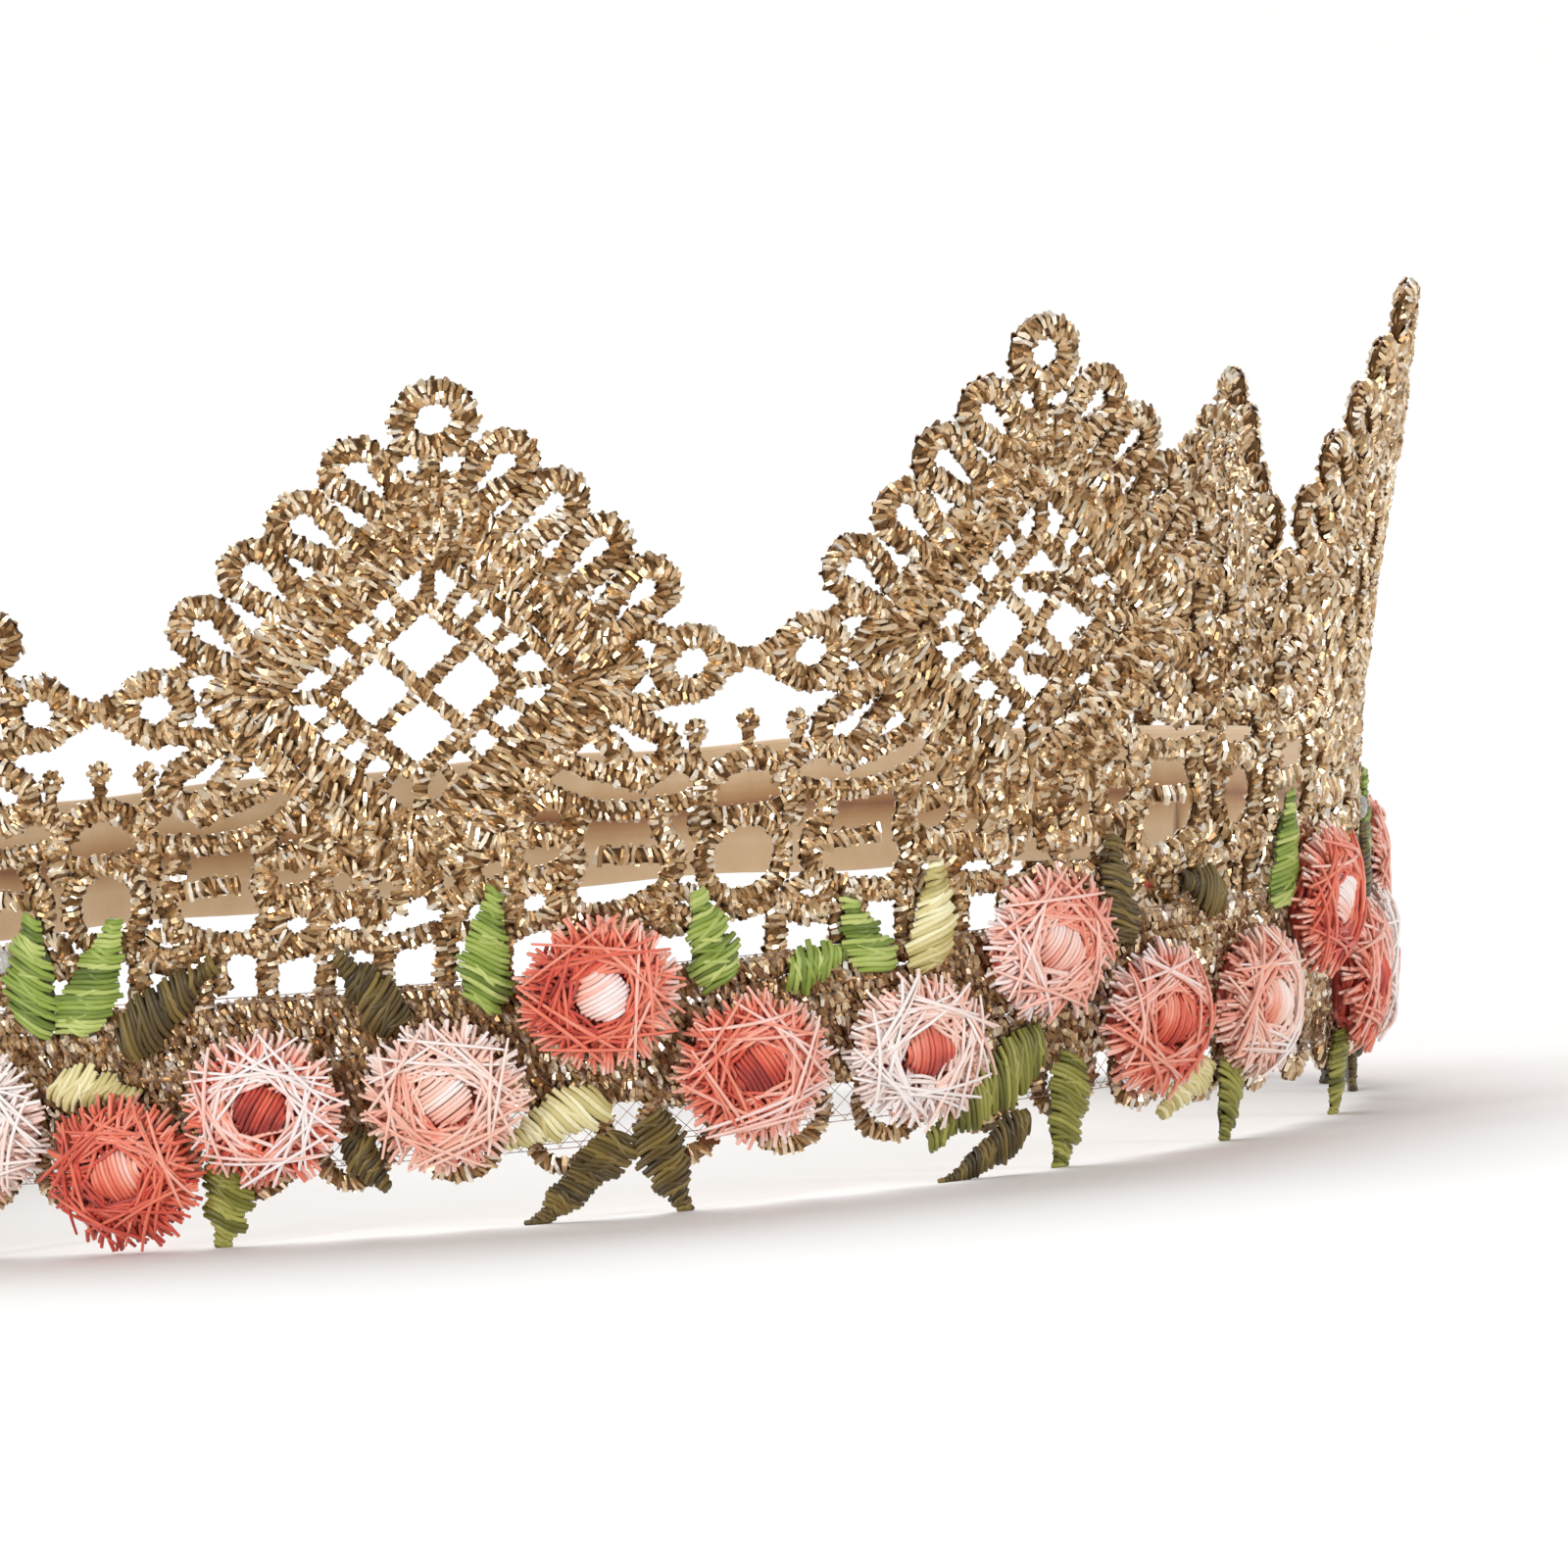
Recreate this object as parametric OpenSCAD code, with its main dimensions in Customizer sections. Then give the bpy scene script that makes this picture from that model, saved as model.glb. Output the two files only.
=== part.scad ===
// Flower crown: a seven-point strip of metallic lace, a trim of embroidered roses and leaves
// round its foot, and an elastic band that closes the ring at the back.
// The ring's axis is Z, the front faces -Y, and Z = 0 is the surface the crown stands on.

/* [Ring] */
// Inner radius of the lace at the standing surface
ring_r = 79; // [72:0.5:95]
// How far the lace leans outward from upright, in degrees
lean = 6; // [3:0.5:12]
// Thickness of the lace
lace_wall = 1.4; // [1:0.1:2.2]

/* [Lace points] */
// Arc length from one lace point to the next
point_pitch = 54.8; // [51:0.1:66]
// Width of the stitched cord round each loop
cord_w = 2.2; // [1.6:0.1:2.6]
// Half width of one loop's hole
loop_hole_r = 1.05; // [0.7:0.05:1.3]
// Height of the middle of the open diamond, up the lace
diamond_v = 48.5; // [46:0.5:50]
// Half of the diagonal of the diamond inside its thick frame
diamond_half = 11; // [9.5:0.1:12]
// Side of one of the four large square holes in the diamond
window = 3.5; // [2.8:0.1:4]
// Thickness of the bar that links two points
link_h = 1.8; // [1.2:0.1:2.4]

/* [Lace foot] */
// Height of the lace's lower edge, up the lace
foot_v = 9.5; // [9:0.5:11]
// Height of the row of square holes above the trim
square_row_v = 23.5; // [22.5:0.5:24.5]
// Side of the square holes above the trim
square_hole = 2.8; // [2:0.1:3.2]
// Radius of the round hole in each valley
valley_hole_r = 3; // [2:0.1:3.6]
// Outer radius of the small loops along the lower edge
picot_r = 3.9; // [3.4:0.1:4.2]
// Radius of the hole in each of those loops
picot_hole_r = 2.3; // [1.6:0.1:2.6]

/* [Rose trim] */
// Radius of one embroidered rose
rose_r = 7; // [5.5:0.1:7.4]
// Height of a rose, from its back to the top of its outer ring
rose_h = 2.4; // [1.6:0.1:3]
// Radius of the stitched button in a rose's middle
button_r = 2.4; // [1.6:0.1:3]
// Thickness of the net tape that carries the trim
tape_t = 0.3; // [0.2:0.05:0.6]
// Height of the net tape, up the lace
tape_h = 16; // [12:0.5:17]
// Height of the lower edge of the net tape
tape_v = 6.5; // [5:0.5:8]
// Thickness of one embroidered leaf
leaf_t = 1.2; // [0.8:0.1:1.6]

/* [Elastic] */
// Width of the folded elastic
elastic_w = 12.5; // [9:0.5:14]
// Thickness of the folded elastic
elastic_t = 1.6; // [1.2:0.1:2.4]
// Height of the elastic's lower edge, up the lace
elastic_v = 20.5; // [10:0.5:24]
// Length of elastic sewn inside each end of the lace
elastic_overlap = 50; // [20:1:60]
// Share of the free elastic that travels backward whole when it stretches
elastic_mid_share = 0.35; // [0.25:0.01:0.5]

/* [Small trim] */
// Diameter of the clear thread
thread_d = 0.3; // [0.2:0.05:0.5]
// Radius of a dried drop of glue
glue_r = 1.1; // [0.7:0.1:1.6]
// Gap left between soft pieces that lie against each other
lie_gap = 0.05; // [0.02:0.01:0.1]

/* [Hidden] */
$fn = 48;
point_count = 7;
DEG = 180 / PI;
pitch_a = point_pitch / ring_r * DEG;
lace_end_u = point_count * point_pitch / 2;
lace_end_a = lace_end_u / ring_r * DEG;
elastic_end_a = (lace_end_u - elastic_overlap) / ring_r * DEG;
elastic_mid_a = (180 - lace_end_a) * elastic_mid_share;
top_v = 72;
half_u = point_pitch / 2;
// The trim's lists of places were drawn for this pitch; its spacing follows the lace.
DRAWN_PITCH = 54.8;
spread = point_pitch / DRAWN_PITCH;
shell_top = top_v + 10;
outer_loop_r = loop_hole_r + cord_w;
// Loops up one edge of a point: wide end, then narrow end, each as [arc, height].
EDGE_LOOPS = [
  [[6, 67.8], [3.4, 65.2]],
  [[10.1, 63.9], [7.1, 61.2]],
  [[13.9, 59.6], [11.2, 56.8]],
  [[18.1, 55.2], [15.3, 52.5]],
  [[18.9, 41.2], [15.6, 44]],
];
SMALL_SQUARES = [0.1, 0.3, 0.5, 0.7, 0.9];
// Slots of the lace's foot: middle [arc, height], length, width, slope.
FOOT_SLOTS = [
  [[14.2, 38], 5.2, 2, -28], [[18, 34.2], 5.2, 2, -3], [[17, 29.6], 5, 2.3, 6],
  [[5.6, 27.9], 3.6, 1.3, -18], [[17.7, 48.5], 1.8, 4.6, 0],
];
// Small round holes of the lace's foot: middle [arc, height], radius.
FOOT_ROUNDS = [
  [[10.6, 35.9], 0.9], [[10.3, 32.8], 1.3], [[6.4, 31.3], 0.9], [[10, 28.7], 0.8],
  [[21.7, 26.9], 0.8], [[1.6, 27.3], 0.8],
];
// Six loops hang from each repeat's lower edge, three on each side of its middle.
PICOT_U = [for (i = [0 : 2]) (i + 0.5) * point_pitch / 6];
picot_v = foot_v - 1.7;
// Where the square holes above the trim stand, from a point's middle.
SQUARE_ROW_U = [0, 5.2, 9.8, 15.4, 21.6];
// The trim's roses, counted from the front.
ROSES = [for (i = [-14 : 12]) i];
// The one that hangs low instead of high.
LOW_ROSE = -3;
// The trim's height at the high, middle and hanging roses.
rose_high_v = 20.5;
rose_mid_v = 12.5;
rose_low_v = 7.6;
rose_base_r = rose_r * 0.6;
rose_base_h = leaf_t + 0.3;
// Three roses make one repeat: where each sits along it, and the first repeat's start.
DRAWN_REPEAT = 41.5;
rose_repeat = DRAWN_REPEAT * spread;
rose_first_u = 12.5;
ROSE_STEPS = [0, 12.8, 28];
function rose_u(i) =
  let(k = floor(i / 3)) (rose_first_u + ROSE_STEPS[i - 3 * k]) * spread + k * rose_repeat;
function rose_v(i) =
  i == LOW_ROSE ? rose_low_v : (i - 3 * floor(i / 3) == 0 ? rose_high_v : rose_mid_v);
// Leaves of one run of sprigs: base [arc, height], tip [arc, height], width, shade.
// A tip below zero is trimmed flat where the crown stands.
leaf_run = 3 * rose_repeat;
LEAVES = [
  [[-19.8, 7.5], [-21.5, -0.4], 4.8, "olive"],
  [[-4.5, 19.2], [-9, 25.5], 4.4, "dark"],
  [[-9.2, 9], [-6.5, 4.6], 3.6, "dark"],
  [[2.8, 20.5], [4.5, 30], 4.6, "bright"],
  [[12, 11], [4, 7.5], 4.6, "cream"],
  [[14, 7.2], [5.5, -0.4], 4, "dark"],
  [[16.2, 8.5], [19.2, -0.4], 4.6, "dark"],
  [[23, 20.5], [21.5, 28.5], 4.6, "bright"],
  [[29.5, 20.4], [34.4, 21.8], 4, "bright"],
  [[37.2, 20.2], [34.8, 26.5], 4.4, "bright"],
  [[42.4, 20], [43.3, 29], 4.6, "cream"],
  [[53.5, 11.4], [42, 4], 5.4, "olive"],
  [[52, 4.6], [43, -0.4], 3.2, "dark"],
  [[57.5, 9.5], [55.7, -0.4], 4.8, "olive"],
  [[63.5, 20], [62.5, 29], 4.6, "dark"],
  [[77, 22.5], [71.5, 24.5], 4, "dark"],
  [[75, 7.5], [68.5, 3.5], 4, "cream"],
  [[79.5, 7.5], [78, -0.4], 4, "olive"],
  [[88.2, 21], [89.5, 30.5], 5.2, "bright"],
];
// Leaves that only stand above the low rose.
LOW_ROSE_LEAVES = [
  [[-32, 20.5], [-27.5, 30], 5, "bright"],
  [[-28, 19], [-19.5, 25.5], 4.6, "dark"],
  [[-34.5, 15.6], [-27.4, 14.2], 4, "cream"],
];
// The lace is whole at this height, so glue holds there.
glue_v = 26.7;
GLUE_U = [-124.4, -41, -38.6, 124.4];
// Stitches inside the lace that hold the trim's tape.
stitch_step = 18;

// A place on the lace, seen from straight in front of its own point: [arc, height up the lace].
function wall_r(v) = ring_r + v * sin(lean);
function flat(u, v) = [wall_r(v) * sin(u / ring_r * DEG), v * cos(lean)];

module at(u, v) {
  translate(flat(u, v)) children();
}

// Puts a piece flat against the outside of the lace: X along it, Y up it, Z away from it.
module on_lace(u, v, off = 0) {
  rotate([0, 0, u / ring_r * DEG])
    translate([0, -wall_r(v) - (lace_wall + off) * cos(lean), v * cos(lean) - (lace_wall + off) * sin(lean)])
      rotate([90 + lean, 0, 0]) children();
}

// A leaning wall: its inner face is off outside the lace's inner face.
module wall_sector(a0, a1, v0, v1, off, t) {
  rotate([0, 0, a0 - 90])
    rotate_extrude(angle = a1 - a0, $fn = 180)
      translate([ring_r + off * cos(lean), -off * sin(lean)])
        rotate(-lean) translate([0, v0]) square([t, v1 - v0]);
}

module both_sides() {
  children();
  mirror([1, 0]) children();
}

// ---- Lace ----

module loop_body(ends) {
  wide = flat(ends[0][0], ends[0][1]);
  narrow = flat(ends[1][0], ends[1][1]);
  reach = norm(wide - narrow);
  translate(wide) circle(outer_loop_r);
  translate(narrow) rotate(atan2(wide[1] - narrow[1], wide[0] - narrow[0]))
    translate([0, -outer_loop_r * 0.85]) square([reach, outer_loop_r * 1.7]);
}

module loop_hole(ends) {
  wide = flat(ends[0][0], ends[0][1]);
  narrow = flat(ends[1][0], ends[1][1]);
  reach = norm(wide - narrow);
  translate(narrow) rotate(atan2(wide[1] - narrow[1], wide[0] - narrow[0]))
    polygon([
      [0, 0.3], [0, -0.3], [reach, -loop_hole_r], [reach + loop_hole_r * 0.8, -loop_hole_r * 0.5],
      [reach + loop_hole_r * 0.8, loop_hole_r * 0.5], [reach, loop_hole_r],
    ]);
}

module lace_outline() {
  polygon([for (p = [
    [0, 70.5], [-4, 67], [-16.6, 50.4], [-16.6, 46], [-20, 38.6], [-half_u - 1, 38.6],
    [-half_u - 1, foot_v], [half_u + 1, foot_v], [half_u + 1, 38.6], [20, 38.6], [16.6, 46],
    [16.6, 50.4], [4, 67],
  ]) flat(p[0], p[1])]);
  at(0, top_v) circle(1.35 + cord_w);
  both_sides() {
    for (ends = EDGE_LOOPS) loop_body(ends);
    at(22.2, diamond_v) circle(1.4 + cord_w);
    translate(flat(15, diamond_v - 3)) square([6, 6]);
    translate(flat(23, diamond_v) - [0, link_h / 2]) square([half_u, link_h]);
    for (du = [0, 4.3]) {
      at(half_u - du, 42.6) circle(1.15);
      translate(flat(half_u - du, 38) - [0.65, 0]) square([1.3, 4.6]);
    }
    for (u = PICOT_U) at(u, picot_v) circle(picot_r);
  }
}

module square_window(side) {
  rotate(45) square(side, center = true);
}

module lace_holes() {
  at(0, top_v) circle(1.35);
  for (d = [[0, 1], [0, -1], [1, 0], [-1, 0]])
    at(d[0] * window * 1.2, diamond_v + d[1] * window * 1.2) square_window(window);
  both_sides() {
    for (ends = EDGE_LOOPS) loop_hole(ends);
    for (s = SMALL_SQUARES, up = [-1, 1])
      at(diamond_half * s, diamond_v + up * diamond_half * (1 - s)) square_window(1.6);
    at(22.2, diamond_v) circle(1.4);
    for (s = FOOT_SLOTS) at(s[0][0], s[0][1]) rotate(s[3]) square([s[1], s[2]], center = true);
    for (r = FOOT_ROUNDS) at(r[0][0], r[0][1]) circle(r[1]);
    at(half_u, 36.3) square([4, 1.8], center = true);
    at(half_u, 31.4) circle(valley_hole_r);
    for (u = SQUARE_ROW_U) at(u, square_row_v) square(square_hole, center = true);
    for (u = PICOT_U) at(u, picot_v) circle(picot_hole_r);
  }
}

// One repeat of the lace, about the front.
module lace_repeat() {
  color("tan")
    intersection() {
      wall_sector(-pitch_a / 2, pitch_a / 2, 0, shell_top, 0, lace_wall);
      rotate([90, 0, 0]) linear_extrude(wall_r(shell_top) + 10) difference() {
        lace_outline();
        lace_holes();
      }
    }
}

module lace_point(i) {
  rotate([0, 0, (i - (point_count + 1) / 2) * pitch_a]) lace_repeat();
}

// ---- Trim ----

module net_tape() {
  end_a = lace_end_a - 1 / ring_r * DEG;
  color("rosybrown")
    wall_sector(-end_a, end_a, tape_v, tape_v + tape_h, lace_wall + lie_gap, tape_t - lie_gap);
}

module rose(i) {
  lift = rose_base_h;
  color("salmon")
    on_lace(rose_u(ROSES[i]), rose_v(ROSES[i]), tape_t)
      rotate_extrude()
        polygon([
          [0, 0], [rose_base_r, 0], [rose_base_r, lift], [rose_r, lift], [rose_r, lift + rose_h * 0.4],
          [rose_r - 1.6, lift + rose_h], [button_r + 1.4, lift + rose_h * 0.9],
          [button_r + 0.3, lift + rose_h * 0.6], [button_r, lift + rose_h * 0.95],
          [button_r * 0.6, lift + rose_h * 1.1], [0, lift + rose_h * 1.15],
        ]);
}

// A leaf with stepped sides and a blunt, narrow tip.
module leaf_shape(len, w) {
  polygon([
    [-0.3 * w, 0], [-0.5 * w, 0.3 * len], [-0.32 * w, 0.42 * len], [-0.36 * w, 0.62 * len],
    [-0.17 * w, 0.74 * len], [-0.14 * w, len], [0.14 * w, len], [0.17 * w, 0.74 * len],
    [0.36 * w, 0.62 * len], [0.32 * w, 0.42 * len], [0.5 * w, 0.3 * len], [0.3 * w, 0],
  ]);
}

module leaf(base, tip, w, shift = 0) {
  along = [[spread, 0], [0, 1]];
  mid = along * (base + tip) / 2 + [shift, 0];
  run = along * (tip - base);
  on_lace(mid[0], mid[1], tape_t)
    rotate([0, 0, atan2(run[1], run[0]) - 90])
      translate([0, -norm(run) / 2, 0]) linear_extrude(leaf_t) leaf_shape(norm(run), w);
}

// Every leaf of one shade, with the run of sprigs repeated round the crown.
module leaves(shade) {
  reach = lace_end_u - 4;
  intersection() {
    union() {
      for (k = [-2 : 1], l = LEAVES) {
        shift = k * leaf_run;
        if (l[3] == shade && abs(l[0][0] * spread + shift) < reach && abs(l[1][0] * spread + shift) < reach)
          leaf(l[0], l[1], l[2], shift);
      }
      for (l = LOW_ROSE_LEAVES)
        if (l[3] == shade) leaf(l[0], l[1], l[2]);
    }
    cylinder(h = shell_top, r = wall_r(shell_top) + 20);
  }
}

module bright_leaves() {
  color("yellowgreen") leaves("bright");
}

module olive_leaves() {
  color("olivedrab") leaves("olive");
}

module dark_leaves() {
  color("darkolivegreen") leaves("dark");
}

module cream_leaves() {
  color("palegoldenrod") leaves("cream");
}

// ---- Elastic ----

// Two soft rolls with a groove between them, standing against the inside of the lace.
module elastic_profile() {
  roll = elastic_w / 2;
  soft = elastic_t * 0.3;
  translate([ring_r, 0]) rotate(-lean) translate([-elastic_t - lie_gap, elastic_v])
    polygon([
      [soft, 0], [elastic_t - soft, 0], [elastic_t, roll * 0.25], [elastic_t, roll * 0.75],
      [elastic_t - soft, roll], [elastic_t, roll * 1.25], [elastic_t, roll * 1.75],
      [elastic_t - soft, elastic_w], [soft, elastic_w], [0, roll * 1.75], [0, roll * 1.25],
      [soft, roll], [0, roll * 0.75], [0, roll * 0.25],
    ]);
}

module elastic_piece(a0, a1) {
  color("burlywood") rotate([0, 0, a0 - 90]) rotate_extrude(angle = a1 - a0, $fn = 180) elastic_profile();
}

module elastic_right_end() {
  elastic_piece(elastic_end_a, lace_end_a);
}

module elastic_left_end() {
  elastic_piece(-lace_end_a, -elastic_end_a);
}

module elastic_right_side() {
  elastic_piece(lace_end_a, 180 - elastic_mid_a);
}

module elastic_left_side() {
  elastic_piece(180 + elastic_mid_a, 360 - lace_end_a);
}

module elastic_middle() {
  elastic_piece(180 - elastic_mid_a, 180 + elastic_mid_a);
}

// ---- Small trim ----

// Upright bars of thread on the inside of the elastic's lower roll.
module join_stitches(side) {
  first_u = lace_end_u - elastic_overlap + 3;
  color("wheat")
    for (du = [0 : 8 : elastic_overlap - 6])
      rotate([0, 0, side * (first_u + du) / ring_r * DEG])
        translate([0, -ring_r, 0]) rotate([lean, 0, 0])
          translate([0, elastic_t + thread_d + 2 * lie_gap, elastic_v + 1])
            cylinder(h = elastic_w / 2 - 2, d = thread_d * 2, $fn = 16);
}

module join_stitches_left() {
  join_stitches(-1);
}

module join_stitches_right() {
  join_stitches(1);
}

// Clear hand stitches that show inside the lace, behind the tape's middle.
module trim_stitches() {
  color("gainsboro")
    for (u = [-lace_end_u + stitch_step / 2 : stitch_step : lace_end_u])
      on_lace(u, tape_v + tape_h / 2, -lace_wall - lie_gap - thread_d / 2)
        rotate([0, 90, 0]) cylinder(h = 2.4, d = thread_d, center = true, $fn = 16);
}

module glue_drops() {
  color("whitesmoke")
    for (u = GLUE_U)
      on_lace(u * spread, glue_v, lie_gap) rotate_extrude()
        polygon([[0, 0], [glue_r, 0], [glue_r * 0.8, glue_r * 0.45], [glue_r * 0.4, glue_r * 0.7], [0, glue_r * 0.75]]);
}

lace_point(1);  // lace_point_1
lace_point(2);  // lace_point_2
lace_point(3);  // lace_point_3
lace_point(4);  // lace_point_4
lace_point(5);  // lace_point_5
lace_point(6);  // lace_point_6
lace_point(7);  // lace_point_7
net_tape();
rose(0);  // rose_01
rose(1);  // rose_02
rose(2);  // rose_03
rose(3);  // rose_04
rose(4);  // rose_05
rose(5);  // rose_06
rose(6);  // rose_07
rose(7);  // rose_08
rose(8);  // rose_09
rose(9);  // rose_10
rose(10);  // rose_11
rose(11);  // rose_12
rose(12);  // rose_13
rose(13);  // rose_14
rose(14);  // rose_15
rose(15);  // rose_16
rose(16);  // rose_17
rose(17);  // rose_18
rose(18);  // rose_19
rose(19);  // rose_20
rose(20);  // rose_21
rose(21);  // rose_22
rose(22);  // rose_23
rose(23);  // rose_24
rose(24);  // rose_25
rose(25);  // rose_26
rose(26);  // rose_27
bright_leaves();
olive_leaves();
dark_leaves();
cream_leaves();
elastic_left_end();
elastic_right_end();
elastic_left_side();
elastic_right_side();
elastic_middle();
join_stitches_left();
join_stitches_right();
trim_stitches();
glue_drops();
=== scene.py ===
"""A flower crown: stitched metallic lace, an embroidered rose trim and a satin elastic."""

import math
import random

import bmesh
import bpy
from mathutils import Matrix, Vector


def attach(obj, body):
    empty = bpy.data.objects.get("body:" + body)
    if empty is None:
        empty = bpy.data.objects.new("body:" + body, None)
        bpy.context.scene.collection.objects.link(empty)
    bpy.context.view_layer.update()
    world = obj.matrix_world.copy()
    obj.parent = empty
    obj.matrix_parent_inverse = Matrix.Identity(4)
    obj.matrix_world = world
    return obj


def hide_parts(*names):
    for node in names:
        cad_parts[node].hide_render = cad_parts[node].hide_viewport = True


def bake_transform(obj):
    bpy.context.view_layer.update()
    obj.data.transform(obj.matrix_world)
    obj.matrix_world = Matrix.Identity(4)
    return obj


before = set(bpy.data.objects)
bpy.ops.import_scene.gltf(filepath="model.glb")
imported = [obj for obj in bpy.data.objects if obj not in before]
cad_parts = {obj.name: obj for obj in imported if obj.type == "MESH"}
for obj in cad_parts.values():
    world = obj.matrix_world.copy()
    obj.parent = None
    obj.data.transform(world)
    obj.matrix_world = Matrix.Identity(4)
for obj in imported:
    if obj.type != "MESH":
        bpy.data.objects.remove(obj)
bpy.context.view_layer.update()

# ---- Sizes of the crown, in millimetres until they are placed ----

MM = 0.001
RING_R = 79.0
LEAN = math.radians(6)
LACE_WALL = 1.4
PITCH = 54.8
POINT_COUNT = 7
MIDDLE_POINT = 4
TAPE_T = 0.3
LEAF_T = 1.2
LACE_END = 191.8
ELASTIC_V = 20.5
ELASTIC_W = 12.5
ELASTIC_T = 1.6
DIAMOND_V = 48.5
GOLDEN_ANGLE = 2.399


def on_crown(u, v, off=0.0):
    """The place u along the ring and v up the lace, off outside the lace's inner face."""
    a = u / RING_R
    r = RING_R + v * math.sin(LEAN) + off * math.cos(LEAN)
    z = v * math.cos(LEAN) - off * math.sin(LEAN)
    return Vector((r * math.sin(a), -r * math.cos(a), z)) * MM


def show(item):
    """Puts an object into the scene."""
    bpy.context.scene.collection.objects.link(item)
    return item


# ---- Camera, floor and light ----


def place_camera():
    """A long lens, almost level with the crown and a little turned about its own axis."""
    aim = Vector((0.0309, 0.0, 0.0327))
    distance = 2.0
    lift = math.radians(3.0)
    roll = math.radians(4.57)
    back = Vector((0.0, -math.cos(lift), math.sin(lift)))
    right = Vector((1.0, 0.0, 0.0))
    up = back.cross(right)
    right_turned = right * math.cos(roll) - up * math.sin(roll)
    up_turned = up * math.cos(roll) + right * math.sin(roll)
    turn = Matrix((right_turned, up_turned, back)).transposed()
    data = bpy.data.cameras.new("camera")
    data.lens = 501.4
    data.sensor_width = 36.0
    data.clip_start = 0.1
    data.clip_end = 200.0
    camera = bpy.data.objects.new("camera", data)
    camera.matrix_world = Matrix.Translation(aim + back * distance) @ turn.to_4x4()
    show(camera)
    bpy.context.scene.camera = camera


def soft_light(name, place, aim, size, watts):
    """A small white panel of light that faces its aim."""
    data = bpy.data.lights.new(name, "AREA")
    data.shape = "RECTANGLE"
    data.size = size[0]
    data.size_y = size[1]
    data.energy = watts
    lamp = bpy.data.objects.new(name, data)
    lamp.location = place
    lamp.rotation_euler = (Vector(aim) - Vector(place)).to_track_quat("-Z", "Y").to_euler()
    show(lamp)


def new_material(name):
    """A material with its node tree and its shader."""
    made = bpy.data.materials.new(name)
    made.use_nodes = True
    return made, made.node_tree, made.node_tree.nodes["Principled BSDF"]


def build_studio():
    """A wide pale floor under white air, a soft sun from behind and two small lights in front."""
    bpy.ops.mesh.primitive_plane_add(size=80.0, location=(0.0, 0.0, 0.0))
    floor = bpy.context.object
    floor.name = "studio_floor"
    pale, _, shader = new_material("pale_floor")
    shader.inputs["Base Color"].default_value = (0.85, 0.847, 0.843, 1.0)
    shader.inputs["Roughness"].default_value = 0.75
    floor.data.materials.append(pale)
    world = bpy.data.worlds.new("studio_air")
    world.use_nodes = True
    air = world.node_tree.nodes["Background"]
    air.inputs["Color"].default_value = (1.0, 1.0, 1.0, 1.0)
    air.inputs["Strength"].default_value = 0.57
    bpy.context.scene.world = world
    bpy.context.scene.view_settings.view_transform = "Standard"
    sun = bpy.data.lights.new("overhead_light", "SUN")
    sun.energy = 2.2
    sun.angle = math.radians(55)
    lamp = bpy.data.objects.new("overhead_light", sun)
    lamp.rotation_euler = Vector((-0.25, 0.7, 1.0)).to_track_quat("Z", "Y").to_euler()
    show(lamp)
    lit_place = (0.0, 0.0, 0.03)
    soft_light("left_light", (-0.8, -0.9, 0.26), lit_place, (0.2, 0.3), 5.6)
    soft_light("right_light", (0.9, -0.7, 0.22), lit_place, (0.15, 0.3), 3.8)


# ---- Node trees: short ways to write them ----


def wire(group, source, target):
    """Feeds an input with another node's output, or with a plain value."""
    if isinstance(source, bpy.types.NodeSocket):
        group.links.new(source, target)
    else:
        target.default_value = source


def add(group, kind, inputs=None, **facts):
    """One node, its settings, and what feeds its inputs."""
    node = group.nodes.new(kind)
    for key, value in facts.items():
        setattr(node, key, value)
    for key, source in (inputs or {}).items():
        wire(group, source, node.inputs[key])
    return node


def maths(group, operation, a, b=0.0):
    return add(group, "ShaderNodeMath", {0: a, 1: b}, operation=operation).outputs[0]


def vmaths(group, operation, a, b=(0.0, 0.0, 0.0)):
    return add(group, "ShaderNodeVectorMath", {0: a, 1: b}, operation=operation).outputs[0]


def grow(group, a, scale):
    """A vector times a number."""
    node = add(group, "ShaderNodeVectorMath", {0: a, "Scale": scale}, operation="SCALE")
    return node.outputs[0]


def chance(group, low, high, seed):
    """A random number for each point or piece."""
    node = add(group, "FunctionNodeRandomValue", data_type="FLOAT")
    wire(group, low, node.inputs[2])
    wire(group, high, node.inputs[3])
    wire(group, seed, node.inputs["Seed"])
    return node.outputs[1]


def carried(group, name):
    """A number stored on the geometry."""
    node = add(group, "GeometryNodeInputNamedAttribute", {"Name": name}, data_type="FLOAT")
    return node.outputs[0]


def new_tree(name, sizes):
    """An empty tree with named inputs; returns it with its input node."""
    group = bpy.data.node_groups.new(name, "GeometryNodeTree")
    face = group.interface
    face.new_socket("Geometry", in_out="INPUT", socket_type="NodeSocketGeometry")
    for label, kind, value in sizes:
        socket = face.new_socket(label, in_out="INPUT", socket_type="NodeSocket" + kind)
        if value is not None:
            socket.default_value = value
    face.new_socket("Geometry", in_out="OUTPUT", socket_type="NodeSocketGeometry")
    return group, add(group, "NodeGroupInput")


def close_tree(group, geometry, material):
    """Every tree ends alike: real geometry with its material."""
    real = add(group, "GeometryNodeRealizeInstances", {"Geometry": geometry}).outputs[0]
    done = add(group, "GeometryNodeSetMaterial", {"Geometry": real, "Material": material})
    add(group, "NodeGroupOutput", {"Geometry": done.outputs[0]})


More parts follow.
